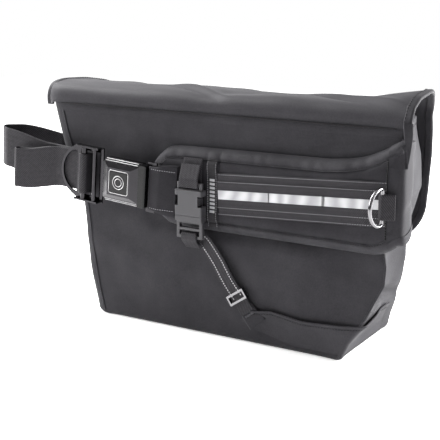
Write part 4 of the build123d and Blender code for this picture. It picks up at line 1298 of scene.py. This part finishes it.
@dataclass
class HarnessPad:
    """Padded back rest: a crowned cushion with a bound edge, sewn webbing and a label."""

    finishes: Finishes
    left: float = -66 * MM
    right: float = 228 * MM
    edge: float = 4.6 * MM
    rise: float = 10.4 * MM
    binding: float = 11 * MM

    def low(self, x: Array) -> Array:
        """Height of the lower edge."""
        return np.interp(x, vec(-66, -58, -46, -30, 205, 216, 231), vec(151, 139, 129.5, 128, 127, 130, 139))

    def high(self, x: Array) -> Array:
        """Height of the upper edge."""
        return np.interp(
            x,
            vec(-66, -58, -46, -30, 150, 175, 195, 212, 231),
            vec(199, 209, 217, 218.4, 219.6, 222, 226.5, 234, 245),
        )

    def height(self, x: Array, z: Array) -> Array:
        """How far the face stands out from the back panel.

        From the edge the face climbs as a quarter ellipse over 15 mm. A sewn line runs inside
        the binding, the foam swells between the binding and the webbing, and the webbing and
        its stitches press it down.
        """
        side = np.minimum(z - self.low(x), self.high(x) - z)
        side = np.clip(np.minimum(side, x - self.left + 1 * MM), 0, None)
        climb = np.sqrt(1 - (1 - np.clip(side / (15 * MM), 0, 1)) ** 2)
        line = z - WEBBING_MIDDLE[1] - WEBBING_SLOPE * (x - WEBBING_MIDDLE[0])
        sewn = bump_at(side, self.binding, 1.4 * MM) * -1.5 * MM
        pillow = bump_at(side, 19 * MM, 6 * MM) * 1.1 * MM
        pressed = -0.7 * MM * bump_at(line, 0, 24 * MM) * ease(14 * MM, 30 * MM, x)
        groove = -1.2 * MM * (bump_at(x, 24 * MM, 1.2 * MM) + bump_at(x, 8.4 * MM, 1.0 * MM))
        soft = ripples(x, z, 40 * MM, 12) * 0.45 * MM * climb
        return self.edge + self.rise * climb + sewn + pillow + pressed + groove * climb + soft

    def build(self) -> None:
        """Build the cushion, its binding and the stitches."""
        t = np.linspace(0, 1, 190)
        x = self.left + (self.right - self.left) * t
        v = (1 - np.cos(np.linspace(0, math.pi, 90))) / 2
        z = self.low(x)[None, :] + (self.high(x) - self.low(x))[None, :] * v[:, None]
        x = x[None, :] + 0 * z
        face = behind(x, z, self.height(x, z))
        under = behind(x, z, 0.4 * MM)
        cushion = slab("harness_cushion", face, under)
        self.finishes.dress(cushion, "pad_face_cloth", "spacer_mesh")
        place(cushion, "bag", ("pad_foam", "pad_face", "pad_backing"))
        self.build_binding()

    def border(self) -> Array:
        """The edge as x, z: from the lower right corner to the left end and back along the top."""
        x = np.concatenate([np.linspace(231, -46, 120), vec(-56, -66) / MM]) * MM
        low = np.stack([x, self.low(x)], 1)
        high = np.stack([x[::-1], self.high(x[::-1])], 1)
        return smooth_path(np.concatenate([low, high]), 340, 3)

    def build_binding(self) -> None:
        """Tape folded over the cushion's edge, with a sewn line inside it."""
        edge = self.border()
        tangent = unit(np.gradient(edge, axis=0))
        inward = np.stack([tangent[:, 1], -tangent[:, 0]], 1)
        inward = inward * np.sign(np.sum(inward * (np.array([80, 175]) * MM - edge)))
        run = arc_lengths(edge)
        # section of the tape: from behind the edge, round it and in over the cushion's face
        reach = np.array([0.6, -0.9, -1.4, -0.6, 1.4, 4.0, 7.0, 9.6, 11.0]) * MM
        flat = edge[:, None] + inward[:, None] * reach[None, :, None]
        over = self.height(flat[..., 0], flat[..., 1])
        pucker = np.sin(run / (2.6 * MM))[:, None] * np.sin(run / (17 * MM))[:, None] * 0.35 * MM
        shape = np.array([0.2, 1.0, 3.4, 5.6, 0, 0, 0, 0, 0]) * MM
        lift = np.where(np.arange(9) < 4, shape[None, :], over + 0.9 * MM + pucker)
        lift[:, -1] = over[:, -1] + 0.5 * MM
        outer = behind(flat[..., 0], flat[..., 1], lift)
        inner = behind(flat[..., 0] + inward[:, None, 0] * 0.9 * MM * (reach[None, :] < 0),
                       flat[..., 1], np.maximum(lift - 1.3 * MM, 0.1 * MM))
        band = slab("cushion_binding", outer, inner)
        self.finishes.put(band, ("edge_tape", "edge_tape"), "bag", "binding_tape", ("pad_edge",))
        sewn = edge + inward * 9.4 * MM
        line = behind(sewn[:, 0], sewn[:, 1], self.height(sewn[:, 0], sewn[:, 1]) + 1.2 * MM)
        thread = stitch_row("cushion_stitching", line, (0, -1, 0), pitch=3.0 * MM)
        self.finishes.put(thread, "dark_thread_and_painted_shade", "bag", "thread")


@dataclass
class PadWebbing:
    """Webbing sewn along the cushion, its reflective tape, the label and the ring's keeper."""

    finishes: Finishes
    pad: HarnessPad
    start: float = 24.5 * MM
    end: float = 221 * MM
    label_x: float = 16.2 * MM

    def line(self, x: Array, out: float, shift: float = 0.0) -> Array:
        """Centre line of a strip: it climbs 3 degrees to the right.

        Args:
            x: positions along the cushion.
            out: distance from the back panel.
            shift: distance up from the centre line.

        Returns:
            The line's points.
        """
        sag = (bump_at(x, 88 * MM, 9 * MM) + bump_at(x, 152 * MM, 9 * MM)) * 0.45 * MM
        fall = ease(196 * MM, 222 * MM, x) * 1.6 * MM
        height = WEBBING_MIDDLE[1] + WEBBING_SLOPE * (x - WEBBING_MIDDLE[0]) + shift
        return behind(x, height, out - sag - fall)

    def build(self) -> None:
        """Build the strips and what is sewn on them."""
        x = np.linspace(self.start, self.end, 220)
        up = (-math.sin(math.radians(3)), 0, math.cos(math.radians(3)))
        base = sweep("pad_base_webbing", self.line(x, 16.5 * MM), up,
                     band_profile(47 * MM, 1.6 * MM, 9, 0.32 * MM))
        self.finishes.put(base, "pad_webbing", "bag", "webbing", ("pad_webbing",))
        daisy = sweep("pad_loop_webbing", self.line(x, 18.0 * MM), up,
                      band_profile(30 * MM, 1.5 * MM, 5, 0.34 * MM))
        self.finishes.put(daisy, "pad_webbing", "bag", "webbing", ("daisy_webbing",))
        tape = sweep("reflective_tape", self.line(x[1:-1], 19.0 * MM), up,
                     band_profile(10 * MM, 0.7 * MM))
        self.finishes.put(tape, "glass_bead_tape", "bag", "reflective", ("reflective_strip",))
        for k, shift in enumerate((-22.0, -14.2, 14.2, 22.0)):
            out = 17.45 if abs(shift) > 20 else 18.95
            row = stitch_row(f"webbing_stitching_{k}", self.line(x, out * MM, shift * MM), (0, -1, 0),
                             pitch=2.8 * MM, radius=0.3 * MM)
            self.finishes.put(row, "thread_grey", "bag", "thread")
        self.build_bartacks()
        self.build_label()
        self.build_keeper()

    def build_bartacks(self) -> None:
        """Two dense zigzag rows that hold the webbing down across its width."""
        swing = np.where(np.arange(28) % 2, 1.0, -1.0)
        for name, x, wide in (("near", 88 * MM, 0.5 * MM), ("far", 152 * MM, 1.7 * MM)):
            z = np.linspace(-5.6, 5.6, 28) * MM
            centre = self.line(np.full(28, x), 19.45 * MM)
            path = centre + np.stack([swing * wide, 0 * z, z], 1)
            tack = sweep(f"bartack_{name}", path, (0, 1, 0), round_profile(0.34 * MM, 6))
            self.finishes.put(tack, "dark_thread_and_painted_shade", "bag", "thread", ("bartacks",))

    def build_label(self) -> None:
        """Upright woven label with a plain column of bars, sewn down both sides."""
        z = np.linspace(134, 209.5, 60) * MM
        middle = np.full(60, self.label_x)
        out = self.pad.height(middle, z)
        path = behind(middle, z, out + 1.4 * MM)
        ribbon = sweep("label_ribbon", path, (1, 0, 0), band_profile(13 * MM, 1.0 * MM))
        self.finishes.put(ribbon, "label_ribbon", "bag", "label", ("label_tab",))
        for k, height in enumerate(np.linspace(187.0, 151.8, 9)):
            x, zz = np.meshgrid(self.label_x + 0.4 * MM + np.linspace(-3.1, 3.1, 5) * MM,
                                height * MM + np.linspace(-1.3, 1.3, 4) * MM)
            base = np.interp(zz, z, BACK - path[:, 1])
            bar = slab(f"label_bar_{k}", behind(x, zz, base + 0.75 * MM), behind(x, zz, base))
            self.finishes.put(bar, ("glass_bead_tape", "label_ribbon"), "bag", "label")
        for k, x in enumerate((10.8, 21.6)):
            line = path + np.array([x * MM - self.label_x, -0.55 * MM, 0])
            thread = stitch_row(f"label_stitching_{k}", line, (0, -1, 0), pitch=2.6 * MM,
                                radius=0.28 * MM)
            self.finishes.put(thread, "thread_grey", "bag", "thread")

    def build_keeper(self) -> None:
        """Folded webbing tab that holds the ring's bar."""
        low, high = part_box("d_ring_keeper")
        middle = (low[2] + high[2]) / 2
        ring_x = 219 * MM  # the ring's bar
        corners = [(high[0], low[1] + 6.4 * MM), (ring_x + 0.4 * MM, low[1] + 1.0 * MM),
                   (ring_x - 3.6 * MM, low[1] + 2.6 * MM), (ring_x - 2.6 * MM, low[1] + 6.4 * MM),
                   (high[0], low[1] + 8.2 * MM)]
        flat = rounded_path(np.array(corners), (2.6 * MM, 2.0 * MM, 2.0 * MM), 1.0 * MM)
        path = np.stack([flat[:, 0], flat[:, 1], 0 * flat[:, 0] + middle], 1)
        tab = sweep("ring_keeper_tab", path, (0, 0, 1), band_profile(26 * MM, 1.5 * MM, 5, 0.15 * MM))
        self.finishes.put(tab, "pad_webbing", "bag", "webbing", ("d_ring_keeper",))


@dataclass
class AnchorWrap:
    """Cloth that carries the cushion's end round the corner, and the tab beside the flap."""

    finishes: Finishes
    shell: BagShell
    stations: int = 56

    def edges(self, run: Array) -> tuple[Array, Array]:
        """Heights of the lower and the upper edge, over the run round the corner from 0 to 1."""
        low = np.interp(run, [0, 0.22, 0.5, 1], vec(133.5, 140, 142, 158))
        high = np.interp(run, [0, 0.22, 0.5, 1], vec(239.5, 244.5, 245, 240))
        return low, high

    def at(self, z: Array, out: Array) -> Array:
        """Points of the wrap.

        In plan the cloth runs flat over the cushion's end, turns the corner and slopes back
        to the side of the bag. Six control points at each height are joined by straight runs
        whose corners are then averaged away.

        Args:
            z: heights, rows by stations.
            out: distance out from the wrap's middle layer.

        Returns:
            Points, rows by stations by three.
        """
        run = np.linspace(0, 1, self.stations)
        low, high = self.edges(run)
        side = np.minimum(z - low, high - z)
        climb = np.sqrt(1 - (1 - np.clip(side / (14 * MM), 0, 1)) ** 2)
        column = self.shell.columns()[self.shell.right_side() + 10]  # where the wrap is sewn down
        side_wall = self.shell.at(z, np.repeat(column[None], self.stations, 0))
        lift = (5.8 + 9.4 * climb) * MM
        nodes = np.stack([
            behind(221 * MM, z, lift),
            behind(229.5 * MM, z, lift * 0.93),
            behind(236.5 * MM, z, 3 * MM + lift * 0.45),
            behind(237 * MM, z, -7 * MM),
            behind(234 * MM, z, -19 * MM),
            side_wall + np.array([1.2, 0, 0]) * MM,
        ])
        spot = np.linspace(0, 5, self.stations)
        near = np.clip(spot.astype(int), 0, 4)
        share = (spot - near)[None, :, None]
        cols = np.arange(self.stations)
        grid = (
            np.moveaxis(nodes[near, :, cols], 0, 1) * (1 - share)
            + np.moveaxis(nodes[near + 1, :, cols], 0, 1) * share
        )
        for _ in range(14):
            grid[:, 1:-1] = (grid[:, :-2] + 2 * grid[:, 1:-1] + grid[:, 2:]) / 4
        normal = normals_of(grid)
        normal = normal * np.sign(normal[..., :1] * 0.8 - normal[..., 1:2])
        return grid + normal * out[..., None]

    def build(self) -> None:
        """Build the wrap, its bound edges, its sewn line and the loose end of the binding."""
        v = np.linspace(0, 1, 70)[:, None]
        run = np.linspace(0, 1, self.stations)[None, :]
        low, high = self.edges(run)
        z = low + (high - low) * v
        length = 0.09  # the run's length in metres, about
        out = ripples(run * length + 0 * v, z, 46 * MM, 17) * 0.6 * MM + 0.9 * MM
        out = out - 1.6 * MM * bump_at(z - 0.25 * run * length, 166 * MM, 5 * MM) * ease(0.3, 0.7, run)
        face, under = self.at(z, out), self.at(z, out - 2.0 * MM)
        wrap = slab("anchor_wrap_cloth", face, under)
        self.finishes.dress(wrap, "coated_polyester", "coated_polyester")
        place(wrap, "bag", ("anchor_wrap",))
        for name, edge, reach in (("upper", high, vec(-9, -6, -3, 0, 1.2)),
                                  ("lower", low, vec(9, 6, 3, 0, -1.2))):
            tall = edge + reach[:, None]
            lift = np.array([1.5, 2.0, 2.0, 1.9, 0.0])[:, None] * MM + 0 * tall
            band = slab(f"wrap_binding_{name}", self.at(tall, lift), self.at(tall, lift - 1.4 * MM))
            self.finishes.put(band, ("edge_tape", "edge_tape"), "bag", "binding_tape")
        line = face[8:-8, 0] + np.array([-0.5, -0.3, 0]) * MM
        cord = stitch_row("anchor_stitching", line, (0, -1, 0), pitch=2.6 * MM, fill=0.9, radius=0.8 * MM)
        self.finishes.put(cord, "acetal_black", "bag", "thread")
        path = smooth_path(vec(235.5, -79.0, 263, 237.5, -82.0, 250, 238.2, -83.0, 236, 237.8, -83.0,
                               219).reshape(-1, 3), 40, 3)
        taper = np.interp(np.linspace(0, 1, 40), [0, 0.25, 1], [1.0, 0.95, 0.12])
        tail = sweep("binding_tail", path, (0.9, 0.43, 0), band_profile(10 * MM, 2.2 * MM), taper)
        self.finishes.put(tail, "edge_tape", "bag", "binding_tape")


STRAP_TILT = math.radians(4.6)
STRAP_ORIGIN = vec(-99, -99, 174.6)  # middle of the buckle
STRAP_ALONG = np.array([math.cos(STRAP_TILT), 0, -math.sin(STRAP_TILT)])  # towards the cushion
STRAP_ACROSS = np.array([math.sin(STRAP_TILT), 0, math.cos(STRAP_TILT)])


@dataclass
class ShoulderStrap:
    """The wide strap: its run round the buckle's adjuster, its tail, and the tongue's end."""

    finishes: Finishes
    width: float = 48 * MM
    thick: float = 1.7 * MM

    def path(self, numbers: tuple[float, ...], radii: tuple[float, ...]) -> Array:
        """Line in the strap's plane, from u, n pairs in mm.

        Args:
            numbers: u, n of each corner; n is the distance out from the strap's plane.
            radii: radius of each inner corner in mm.

        Returns:
            Points in the frame.
        """
        flat = rounded_path(vec(*numbers).reshape(-1, 2), tuple(r * MM for r in radii), 2.5 * MM)
        return STRAP_ORIGIN + flat[:, :1] * STRAP_ALONG + flat[:, 1:] * np.array([0, -1.0, 0])

    def drift(self, path: Array, lift: float, start: float, end: float) -> Array:
        """Path moved across the strap, by a share that grows from start to end away from the buckle."""
        away = -(path - STRAP_ORIGIN) @ STRAP_ALONG
        return path + STRAP_ACROSS * (lift * ease(start, end, away))[:, None]

    def strip(self, name: str, path: Array, body: str, node: str, width: float) -> None:
        """Build one run of webbing.

        Args:
            name: name of the piece.
            path: its centre line.
            body: body that it moves with.
            node: CAD node that it stands for.
            width: its width.
        """
        profile = band_profile(width, self.thick, 7, 0.14 * MM)
        strap = sweep(name, path, STRAP_ACROSS, profile)
        self.finishes.put(strap, "nylon_webbing", body, "webbing", (node,))

    def build(self) -> None:
        """Build every run of the strap and its sewn anchor."""
        bar = self.path((-68, -8.25, -62.65, -8.25, -62.65, 4.85, -53.35, 4.85, -53.35, -10.95, -68,
                         -10.95), (1.2, 3.6, 3.6, 1.6))
        self.strip("adjuster_wrap", bar, "slide_bar", "bar_webbing", self.width)
        tail = self.path((-68.4, -8.25, -102, -7.25, -158, 8.75, -163, -1.25, -112, -9.05),
                         (40, 4.5, 4.5))
        tail = self.drift(tail, -9 * MM, 95 * MM, 150 * MM)
        self.strip("strap_tail_run", tail, "buckle", "strap_tail", self.width)
        run = self.path((-68.4, -13.25, -112, -14.95, -188, -8.95, -206, -20.95, -190, -42.95, -143,
                         -60.95, -130, -72.95, -130, -92.95), (60, 12, 10, 20, 14, 10))
        run = self.drift(run, 9 * MM, 120 * MM, 190 * MM)
        self.strip("shoulder_run", run, "bag", "shoulder_webbing", self.width)
        self.build_tongue()
        path = smooth_path(vec(-226, -17, 184, -212, -17, 184, -196, -17, 184).reshape(-1, 3), 20, 1)
        anchor = sweep("strap_anchor_fold", path, (0, 0, 1), band_profile(44 * MM, 9 * MM, 6, 0.2 * MM))
        self.finishes.put(anchor, "nylon_webbing", "bag", "webbing", ("strap_anchor",))

    def build_tongue(self) -> None:
        """Cloth-covered end that holds the tongue: it widens towards the cushion."""
        line = self.path((70, -7.4, 52, -5.6, 35.6, -5.6, 35.6, 1.9, 50, 2.4, 70, -4.2),
                         (8, 3.2, 3.2, 12))
        run = arc_lengths(line)
        wide = 1.14 + 0.10 * np.cos(run / run[-1] * 2 * math.pi)
        sleeve = sweep("tongue_sleeve", line, STRAP_ACROSS, band_profile(self.width, 1.7 * MM, 0), wide)
        self.finishes.put(sleeve, "pad_face_cloth", "bag", "webbing", ("tongue_webbing",))
        front = line[run > run[-1] * 0.56]
        for name, side in (("upper", 1), ("lower", -1)):
            row = front + STRAP_ACROSS * side * 22.5 * MM - np.array([0, 0.95, 0]) * MM
            thread = stitch_row(f"tongue_stitching_{name}", row, (0, -1, 0), pitch=2.8 * MM)
            self.finishes.put(thread, "thread_grey", "bag", "thread")


@dataclass
class StabilizerStrap:
    """The narrow strap below the clip, with the webbing loops that hold both halves."""

    finishes: Finishes
    middle: float = -8 * MM

    def loop(self, numbers: tuple[float, ...], radii: tuple[float, ...]) -> Array:
        """Line in the upright plane through the clip, from distance out and height in mm."""
        flat = rounded_path(vec(*numbers).reshape(-1, 2), tuple(r * MM for r in radii), 1.5 * MM)
        return behind(np.full(len(flat), self.middle), flat[:, 1], flat[:, 0])

    def build(self) -> None:
        """Build both loops and the stitched strap."""
        path = self.loop((16.6, 209.4, 19.6, 187.6, 19.6, 177.6, 27.4, 177.6, 27.4, 186.6, 20.8, 203.0),
                         (14, 1.6, 1.6, 12))
        tab = sweep("clip_tab_webbing", path, (1, 0, 0), band_profile(25 * MM, 1.6 * MM, 5, 0.12 * MM))
        self.finishes.put(tab, "pad_webbing", "bag", "webbing", ("clip_tab",))
        path = self.loop((14.4, 108.2, 19.6, 119.2, 19.6, 126.2, 27.4, 126.2, 27.4, 118.2, 17.4, 107.7),
                         (8, 1.6, 1.6, 10))
        low = sweep("clip_loop_webbing", path, (1, 0, 0), band_profile(20 * MM, 1.5 * MM, 4, 0.12 * MM))
        self.finishes.put(low, "nylon_webbing", "clip_plug", "webbing", ("clip_strap_loop",))
        self.build_strap()

    def build_strap(self) -> None:
        """Strap from the clip to the slider, with its two light rows of stitches."""
        corners = vec(-3, 121, 15.5, 6, 114, 13.6, 20, 94, 11.4, 33, 72, 10.6, 45.6, 56.4, 10.4, 58,
                      40, 9.0).reshape(-1, 3)
        flat = smooth_path(corners, 80, 4)
        path = behind(flat[:, 0], flat[:, 1], flat[:, 2])
        tangent = unit(np.gradient(path, axis=0))
        across = unit(np.cross(tangent, np.array([0, -1.0, 0])))
        strap = sweep("stabilizer_run", path, across, band_profile(18.5 * MM, 1.5 * MM, 4, 0.12 * MM))
        self.finishes.dress(strap, "nylon_webbing")
        sewn = 66  # first point of the path that lies on the wing
        bridge(strap, ("bag", "clip_plug"), ("stabilizer_strap",))
        for name, side in (("left", -1), ("right", 1)):
            line = path[2:sewn] + across[2:sewn] * side * 5.6 * MM + np.array([0, -0.85, 0]) * MM
            row = stitch_row(f"stabilizer_stitching_{name}", line, (0, -1, 0), pitch=2.9 * MM,
                             fill=0.62, radius=0.62 * MM)
            self.finishes.dress(row, "thread_light")
            bridge(row, ("bag", "clip_plug"))


@dataclass
class Wing:
    """Cloth gusset low on the bag that the narrow strap pulls on, wrapped round the corner."""

    finishes: Finishes
    shell: BagShell

    def build(self) -> None:
        """Build the wing, its stitched top edge and the tab that takes the strap."""
        # from the back, a third in from its right end, round the corner and along the side
        columns = self.shell.columns()[62 : self.shell.right_side() + 20]
        run = np.linspace(0, 1, len(columns))[None, :]
        v = np.linspace(0, 1, 26)[:, None]
        high = np.interp(run, [0, 0.10, 0.16, 0.30, 0.5, 0.58, 0.8, 1],
                         vec(40, 43, 45.5, 41, 42.5, 44, 43, 42))
        low = np.interp(run, [0, 0.1, 0.3, 1], vec(26, 18, 8.4, 8.4))
        z = low + (high - low) * v
        gape = v**3 * (1.6 + 2.4 * bump_at(run, 0.25, 0.2) + 1.2 * np.sin(run * 19)) * MM
        soft = ripples(run * 0.24 + 0 * v, z, 38 * MM, 6) * 0.8 * MM * v
        out = 1.5 * MM + np.maximum(gape, 0) + np.maximum(soft, -0.8 * MM)
        face, under = self.shell.at(z, columns, out), self.shell.at(z, columns, out - 1.4 * MM)
        wing = slab("wing_cloth", face, under)
        # the wing's face takes the paler copy of the shell cloth: painted light
        self.finishes.dress(wing, "coated_polyester_painted_light", "coated_polyester")
        place(wing, "bag", ("wing_back", "wing_side"))
        edge = face[-1] + np.array([0, 0, -0.2]) * MM
        # the rolled top edge in the paler cloth: painted highlight along the edge
        piping = sweep("wing_edge_roll", edge, (0, 0, 1), round_profile(1.2 * MM, 10))
        self.finishes.put(piping, "coated_polyester_painted_light", "bag", "shell_cloth")
        sewn = -4  # row of the grid that the stitches follow, just below the top edge
        normal = normals_of(face)[sewn]
        normal = normal * np.sign(normal[:1, 1] * -1)
        thread = stitch_row("wing_stitching", face[sewn] + normal * 0.2 * MM, normal, pitch=3.2 * MM)
        self.finishes.put(thread, "dark_thread_and_painted_shade", "bag", "thread")
        path = smooth_path(vec(53, -82.6, 47, 60, -81.5, 37.5, 69, -79.5, 27).reshape(-1, 3), 24, 2)
        tab = sweep("wing_strap_tab", path, unit(np.array([0.8, 0, 0.6])), band_profile(22 * MM, 3.0 * MM),
                    np.interp(np.linspace(0, 1, 24), [0, 1], [0.85, 1.2]))
        self.finishes.put(tab, "coated_polyester", "bag", "shell_cloth", ("wing_tab",))
        swing = np.where(np.arange(22) % 2, 1.1, -1.1) * MM
        t = np.linspace(-6.5, 6.5, 22) * MM
        zig = np.stack([60 * MM + 0.8 * t + 0.6 * swing, np.full(22, -83.3 * MM),
                        37.5 * MM + 0.6 * t - 0.8 * swing], 1)
        tack = sweep("wing_bartack", zig, (0, 1, 0), round_profile(0.4 * MM, 10))
        self.finishes.put(tack, "thread_grey", "bag", "thread")


@dataclass
class Hardware:
    """The moulded and metal parts, which keep their shapes and get their real finishes."""

    finishes: Finishes
    parts: dict[str, tuple[str, ...]] = field(default_factory=lambda: {
        "black_nickel": ("buckle_cover", "buckle_frame", "adjuster_fixed_bar", "adjuster_slide_bar",
                         "zip_slider", "tongue_plate"),
        "grey_nickel": ("d_ring", "strap_slider"),
        "bright_nickel": ("latch_plate", "ejector", "button_spring"),
        "acetal_black": ("push_button", "tongue_cover"),
        "acetal_grey": ("clip_socket", "clip_plug", "clip_arm_left", "clip_arm_right", "base_board"),
    })

    def build(self) -> None:
        """Finish every hard part and set the plain ring into the push button."""
        for finish, names in self.parts.items():
            for name in names:
                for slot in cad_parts[name].material_slots:
                    slot.material = self.finishes.made[finish]
                log.info("%s is finished in %s", name, finish)
        # pale wires of painted highlight along the buckle cover's edges
        self.build_edge_highlights()
        low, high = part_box("push_button")
        centre = np.array([(low[0] + high[0]) / 2, low[1] - 0.05 * MM, (low[2] + high[2]) / 2])
        turn = np.linspace(0, 2 * math.pi, 61)
        wire = round_profile(0.5 * MM, 8)
        for name, radius in (("outer", 7.6), ("inner", 4.6)):
            ring = centre + np.stack([np.cos(turn), 0 * turn, np.sin(turn)], 1) * radius * MM
            emblem = sweep(f"button_ring_{name}", ring, (0, 1, 0), wire)
            self.finishes.put(emblem, "pale_nickel_and_painted_highlight", "push_button", "buckle_metal")

    def build_edge_highlights(self) -> None:
        """Painted highlights on the buckle's cover: pale wires round a frame about the button and along two
        steps each side.
        """
        wire = round_profile(0.42 * MM, 8)

        def edge(name: str, flat: Array) -> None:
            """One pale wire of painted highlight along u, v, n points in mm."""
            path = STRAP_ORIGIN + flat[:, :1] * STRAP_ALONG + flat[:, 1:2] * STRAP_ACROSS
            path = path - flat[:, 2:] * np.array([0, 1.0, 0])
            piece = sweep(name, path, (0, 1, 0), wire)
            self.finishes.put(piece, "pale_nickel_and_painted_highlight", "buckle", "buckle_metal")

        side = 13.3  # half the frame round the button, in mm
        square = vec(-1, side, 9.0, side - 1, side, 9.0, side - 1, -side, 9.0, -side - 1, -side, 9.0,
                     -side - 1, side, 9.0, -1, side, 9.0).reshape(-1, 3)
        edge("button_frame_highlight", rounded_path(square, (2.4 * MM,) * 4, 3 * MM))
        for k, (height, out) in enumerate(((24.6, 2.0), (22.6, 3.4), (-22.6, 3.4), (-24.6, 2.0))):
            line = vec(-23.5, height, out, 0, height, out, 21.5, height, out).reshape(-1, 3)
            edge(f"cover_step_highlight_{k}", smooth_path(line, 20, 1))


# ------------------------------------------------------------------ studio
@dataclass
class Studio:
    """Pale floor, soft light from a sky that brightens upwards, three soft boxes and the camera."""

    lens: float = 84.9
    azimuth: float = 31.5
    pitch: float = 13.2
    eye: tuple[float, float, float] = (0.607, -1.039, 0.404)
    horizon: float = 0.10
    zenith: float = 0.85
    floor_half: float = 2.4
    glow: float = 0.36  # the floor's own light, which keeps it pale far from the lamps
    lamp_size: float = 0.8
    target: tuple[float, float, float] = (0.0, 0.0, 0.14)  # middle of the bag

    def build(self) -> None:
        """Make the floor, the lights and the camera."""
        scene = bpy.context.scene
        scene.view_settings.view_transform = "Standard"
        world = bpy.data.worlds.new("studio")
        world.use_nodes = True
        tree = world.node_tree
        background = tree.nodes["Background"]
        rays, where = add_node(tree, "LightPath"), add_node(tree, "TexCoord")
        split = add_node(tree, "SeparateXYZ", Vector=where.outputs["Generated"])
        sky = add_node(
            tree, "MapRange", Value=split.outputs["Z"], To_Min=self.horizon, To_Max=self.zenith
        )
        strength = add_node(
            tree,
            "Math",
            {"operation": "MAXIMUM"},
            i0=rays.outputs["Is Camera Ray"],
            i1=sky.outputs["Result"],
        )
        fill_inputs(tree, background, Color=WHITE, Strength=strength.outputs["Value"])
        scene.world = world
        self.floor()
        self.lamp("key", (-1.5, -0.7, 0.85), 34.0)
        self.lamp("side", (1.5, 1.3, 0.6), 150.0)
        self.lamp("top", (-1.15, 0.15, 1.25), 66.0)
        camera = bpy.data.cameras.new("camera")
        camera.lens = self.lens
        camera.sensor_width = 36.0
        holder = bpy.data.objects.new("camera", camera)
        holder.location = self.eye
        holder.rotation_euler = (math.radians(90 - self.pitch), 0.0, math.radians(self.azimuth))
        scene.collection.objects.link(holder)
        scene.camera = holder

    def floor(self) -> None:
        """Pale floor under the bag."""
        size = self.floor_half
        corner = np.array([[-size, -size, 0], [size, -size, 0], [-size, size, 0], [size, size, 0]])
        plane = new_piece("floor", corner, [[0, 1, 3, 2]], corner[:, :2])
        material, tree, shader = new_material("floor_paint")
        paint = (0.97, 0.97, 0.97, 1.0)
        fill_inputs(
            tree, shader, Base_Color=paint, Roughness=0.9, Emission_Color=WHITE, Emission_Strength=self.glow
        )
        plane.data.materials.append(material)

    def lamp(self, name: str, where: tuple[float, float, float], watts: float) -> None:
        """Square soft box that points at the bag."""
        light = bpy.data.lights.new(name, "AREA")
        light.size = self.lamp_size
        light.energy = watts
        holder = bpy.data.objects.new(name, light)
        holder.location = where
        aim = np.array(self.target) - np.array(where)
        fall = math.atan2(-aim[2], math.hypot(aim[0], aim[1]))
        holder.rotation_euler = (math.pi / 2 - fall, 0.0, math.atan2(-aim[0], aim[1]))
        bpy.context.scene.collection.objects.link(holder)


def main() -> None:
    """Build the bag, part by part."""
    logging.basicConfig(level=logging.INFO)
    finishes = Finishes()
    shell = BagShell(finishes)
    pad = HarnessPad(finishes)
    shell.build()
    FrontPocket(finishes, shell).build()
    Flap(finishes).build()
    pad.build()
    PadWebbing(finishes, pad).build()
    AnchorWrap(finishes, shell).build()
    ShoulderStrap(finishes).build()
    StabilizerStrap(finishes).build()
    Wing(finishes, shell).build()
    Hardware(finishes).build()
    Studio().build()


if __name__ == "__main__":
    main()
